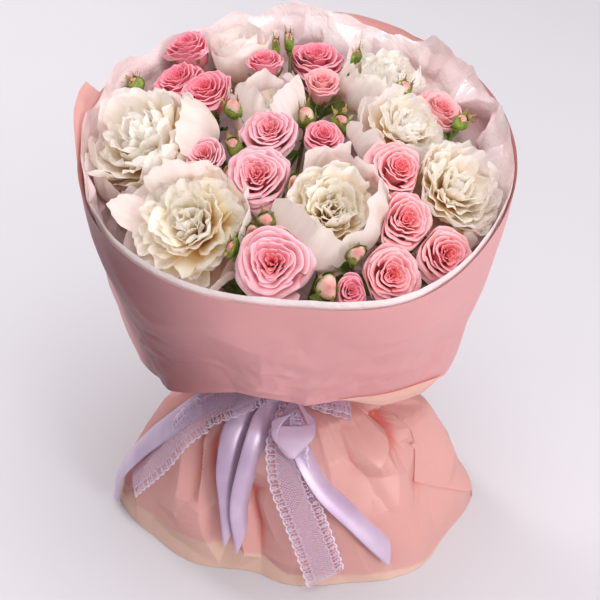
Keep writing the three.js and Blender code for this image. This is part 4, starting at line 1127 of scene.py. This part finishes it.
# Azimuth, height and distance from the skirt along each tail.
SATIN_TAILS = [
    [[228, 140, 7], [231, 129, 7], [235, 104, 7], [238, 78, 6], [241, 52, 6]],
    [[248, 140, 7], [247, 128, 8], [245, 100, 8], [244, 70, 7], [246, 48, 6]],
    [[272, 139, 6], [277, 122, 6], [286, 95, 6], [297, 68, 6], [304, 46, 6], [308, 32, 5]],
    [[214, 140, 7], [199, 134, 7], [194, 104, 7], [188, 70, 8], [185, 36, 11], [186, 6, 8]],
]
LACE_TAILS = [
    [[234, 140, 14], [214, 137, 13], [206, 116, 12], [201, 86, 11], [193, 43, 10]],
    [[268, 140, 14], [266, 128, 12], [268, 106, 10], [274, 76, 9], [279, 46, 9], [283, 12, 8]],
]


def over_skirt(route):
    """Points of a route that is given as azimuth, height and distance from the skirt."""
    out = []
    for degrees, z, clear in route:
        phi = math.radians(degrees)
        slope = (skirt_radius(phi, z - 1) - skirt_radius(phi, z + 1)) / 2
        out.append(polar(skirt_radius(phi, z), phi, z) + clear * unit(polar(1, phi, slope)))
    return out


def ribbon(knot, route, width, rows, cols, cut, arch, twist=(0, 0)):
    """A strip along a route on the skirt: points, way along in mm, and place across in mm."""
    line = curve([knot] + over_skirt(route), rows)
    run = unit(np.gradient(line, axis=0))
    length = np.linalg.norm(np.diff(line, axis=0), axis=1).sum()
    s = np.linspace(0, 1, rows)
    out = unit(polar(1, np.arctan2(line[:, 1], line[:, 0]), np.where(line[:, 2] > 138, 3, 0.5)))
    across = unit(np.cross(run, out))
    normal = unit(np.cross(across, run))
    angle = np.radians(twist[0] + (twist[1] - twist[0]) * s)[:, None]
    cos, sin = np.cos(angle), np.sin(angle)
    across, normal = across * cos + normal * sin, normal * cos - across * sin
    u = np.linspace(-1, 1, cols)[None, :, None]
    size = width / 2 * np.minimum(1, 0.3 + 2.5 * s)[:, None, None]
    points = line[:, None] + across[:, None] * u * size + normal[:, None] * arch * size * (1 - 2 * u ** 2)
    points = points + normal[:, None] * 0.9 * np.sin(11 * s + 2)[:, None, None] * (1 - s[:, None, None])
    slant = cut * width / 2 * u * smooth(s, 0.82, 1.0)[:, None, None]
    points = points + run[:, None] * slant
    along = (s * length)[:, None] + 0 * u[..., 0]
    return points, along, size[..., 0] * u[..., 0]


def loop(foot, main, side, width_way, reach, fat, width, rows, cols):
    """A loop of ribbon from a foot, out along main and back, as wide as width along width_way."""
    t = np.linspace(0.02, 0.98, rows)[:, None, None] * TAU
    u = np.linspace(-1, 1, cols)[None, :, None]
    far = np.sin(t / 2) ** 2
    swing = np.sign(np.sin(t)) * np.abs(np.sin(t)) ** 0.7 * (0.25 + 0.75 * far)
    path = foot + main * reach * far ** 0.8 + side * fat * swing
    pinch = 0.35 + 0.65 * np.sin(t / 2) ** 0.8
    return path + width_way * u * width / 2 * pinch


def lace_threads(along, across, half):
    """True where a cell of the lace is thread: scalloped edges, flowers along them and a net between."""
    pitch = 8.0
    wave = np.abs(np.sin(along / pitch * math.pi))
    from_edge = half - np.abs(across) - 1.6 * (1 - wave)
    one, other = (np.abs((along + slant * across) / 2.5 % 1 - 0.5) > 0.34 for slant in (0.7, -0.7))
    flower_at, flower_out = (along / pitch % 1 - 0.5) * pitch, half - np.abs(across) - 4.6
    flower = np.hypot(flower_at, flower_out)
    petals = (flower < 2.2 + 0.7 * np.cos(5 * np.arctan2(flower_out, flower_at))) & (flower > 0.75)
    spokes = np.abs(flower_at) < 0.4
    cord = (from_edge < 1.5) | (np.abs(from_edge - 8.6) < 0.55)
    inner = from_edge > 8.6
    bars = ~inner & (spokes | (np.abs(flower_at) > pitch / 2 - 0.5))
    return (from_edge > 0) & (cord | petals | (inner & (one | other)) | bars)


def make_satin():
    piece = Piece("satin_ribbon_bow")
    shapes = [((20, 74), 1.6, 0.22), ((34, 78), 1.8, 0.24), ((58, 12), 0.7, 0.16), ((10, 0), 0.2, 0.14)]
    for route, (twist, cut, arch) in zip(SATIN_TAILS, shapes):
        points, _, across = ribbon(SATIN_KNOT, route, SATIN_WIDTH, 90, 13, twist=twist, cut=cut, arch=arch)
        piece.grid(points, edge=2 * np.abs(across) / SATIN_WIDTH)
    foot, end = over_skirt([[269, 140, 22], [270, 112, 27]])
    down = unit(-0.9 * UP + 0.36 * TOWARD)
    points = loop(foot, unit(end - foot), unit(RIGHT - 0.12 * TOWARD), down, 43, 29, 25, 96, 17)
    turn = np.linspace(0, TAU, 96)[:, None, None]
    far = 0.5 - 0.5 * np.cos(turn)
    edge = np.linspace(-1, 1, 17)[None, :, None]
    low, high = smooth(edge, -0.4, 1.0) * far, (1 - edge) / 2
    # The front band comes to a point below. The left side lies open to the front, so the eye is at the right.
    points = points - ((points - foot) @ RIGHT)[..., None] * 0.75 * low ** 2 * RIGHT - 5 * low ** 2 * UP
    near = 1 - smooth(far, 0.55, 0.92)
    left, right = (np.clip(way * np.sin(turn), 0, 1) ** 0.7 * near for way in (-1, 1))
    points = points + high * (20 * left - 8 * right) * RIGHT + 4 * high * left * TOWARD
    points = points + 1.2 * np.cos(3 * turn) * low * TOWARD
    piece.grid(points, edge=np.abs(edge[..., 0]))
    # The knot: a fold of ribbon wrapped over itself, and the band that goes round the neck.
    t, u = cells(28, 15)
    t = TAU * t
    squeeze = 1 - 0.25 * u ** 2
    piece.grid(SATIN_KNOT + np.stack([9 * u + 1.2 * np.sin(2 * t),
                                      8.2 * squeeze * np.cos(t) + 0.7 * np.sin(5 * u + t),
                                      5.2 * squeeze * np.sin(t) + 1.1 * np.sin(2.2 * u)], -1))
    phi, z = circle(72)[None, :], np.linspace(142.6, 151.4, 9)[:, None]
    piece.grid(polar(24.9 + 0.35 * np.sin(z * 3.1 + 2 * np.sin(3 * phi)), phi, z), closed=True)
    return piece.make([SATIN], ["satin_ribbon"])


def make_lace():
    piece = Piece("lace_ribbon_bow")
    cell = 0.52      # size of the mesh's cells, from which the threads are cut
    for route in LACE_TAILS:
        length = np.linalg.norm(np.diff(curve([LACE_KNOT] + over_skirt(route), 60), axis=0), axis=1).sum()
        points, along, across = ribbon(LACE_KNOT, route, LACE_WIDTH, int(length / cell),
                                       int(LACE_WIDTH / cell), cut=0.1, arch=0.05)
        middle = [(way[:-1, :-1] + way[1:, 1:]) / 2 for way in (along, across)]
        keep = lace_threads(*middle, np.abs(across).max(1)[:-1, None])
        piece.grid(points, edge=1 - np.clip((LACE_WIDTH / 2 - np.abs(across)) / 10, 0, 1), keep=keep)
    rows, cols = 190, 72
    main = unit(RIGHT - 0.12 * UP + 0.1 * TOWARD)
    way = unit(-0.75 * UP + 0.55 * TOWARD + 0.1 * RIGHT)
    foot = LACE_KNOT + 3 * TOWARD - 3 * UP
    points = loop(foot, main, unit(np.cross(main, way)), way, 46, 6, LACE_WIDTH, rows, cols)
    points = points + 1.6 * np.sin(np.linspace(0, 9, rows))[:, None, None] * TOWARD
    along, across = np.linspace(0, 98, rows)[:-1, None], np.linspace(-18, 18, cols)[None, :]
    keep = lace_threads(along, (across[:, :-1] + across[:, 1:]) / 2, 18.0)
    piece.grid(points, edge=1 - np.clip((18 - np.abs(across)) / 10, 0, 1), keep=keep)
    t, u = cells(24, 11)
    knot = np.broadcast_arrays(8.5 * u, 7.6 * np.cos(TAU * t), 2.9 * np.sin(TAU * t))
    piece.grid(LACE_KNOT + np.stack(knot, -1))
    phi, z = circle(60)[None, :], np.linspace(152.2, 155, 4)[:, None]
    piece.grid(polar(24.8 + 0.3 * np.sin(9 * phi), phi, z), closed=True)
    return piece.make([LACE], ["lace_ribbon"])


satin = make_satin()
lace = make_lace()


# ---------------------------------------------------------------- floor, light and camera

def aimed(way):
    return Vector(way).to_track_quat("-Z", "Y").to_euler()


mesh = bpy.data.meshes.new("floor")
mesh.from_pydata([(-6, -6, 0), (6, -6, 0), (6, 6, 0), (-6, 6, 0)], [], [(0, 1, 2, 3)])
white = Look("floor_white")
mesh.materials.append(white.finish(white.mix(white.noise(2.0), (206, 203, 208), (199, 196, 201))))
floor = in_scene("floor", mesh)

for name, place, size, color in (("key", (1.35, -1.55, 1.0), 0.8, (1.0, 0.985, 0.98)),
                                 ("top", (0.3, -0.3, 2.2), 1.4, (1.0, 0.99, 0.99)),
                                 ("back", (-1.3, 1.3, 1.4), 0.6, (1.0, 0.99, 1.0))):
    lamp = bpy.data.lights.new(name, "AREA")
    lamp.shape, lamp.size, lamp.energy, lamp.color = "DISK", size, 18, color
    made = in_scene(name, lamp)
    made.location = place
    made.rotation_euler = aimed(Vector((0, 0, 0.25)) - Vector(place))
sky = bpy.data.lights.new("sky", "SUN")
sky.energy, sky.angle = 1.6, math.radians(110)
in_scene("sky", sky).rotation_euler = aimed((-0.35, 0.3, -1.0))
world = bpy.data.worlds.new("studio")
world.use_nodes = True
background = world.node_tree.nodes["Background"].inputs
background["Color"].default_value = (0.9, 0.89, 0.9, 1)
background["Strength"].default_value = 0.38
bpy.context.scene.world = world
bpy.context.scene.view_settings.view_transform = "Standard"

camera = in_scene("camera", bpy.data.cameras.new("camera"))
camera.data.sensor_width = 36
camera.data.lens = 88.98
camera.location = (0.0058, -1.039, 1.014)
camera.rotation_euler = (math.radians(53), 0, 0)
camera.data.clip_start, camera.data.clip_end = 0.05, 40
bpy.context.scene.camera = camera

bpy.context.view_layer.update()
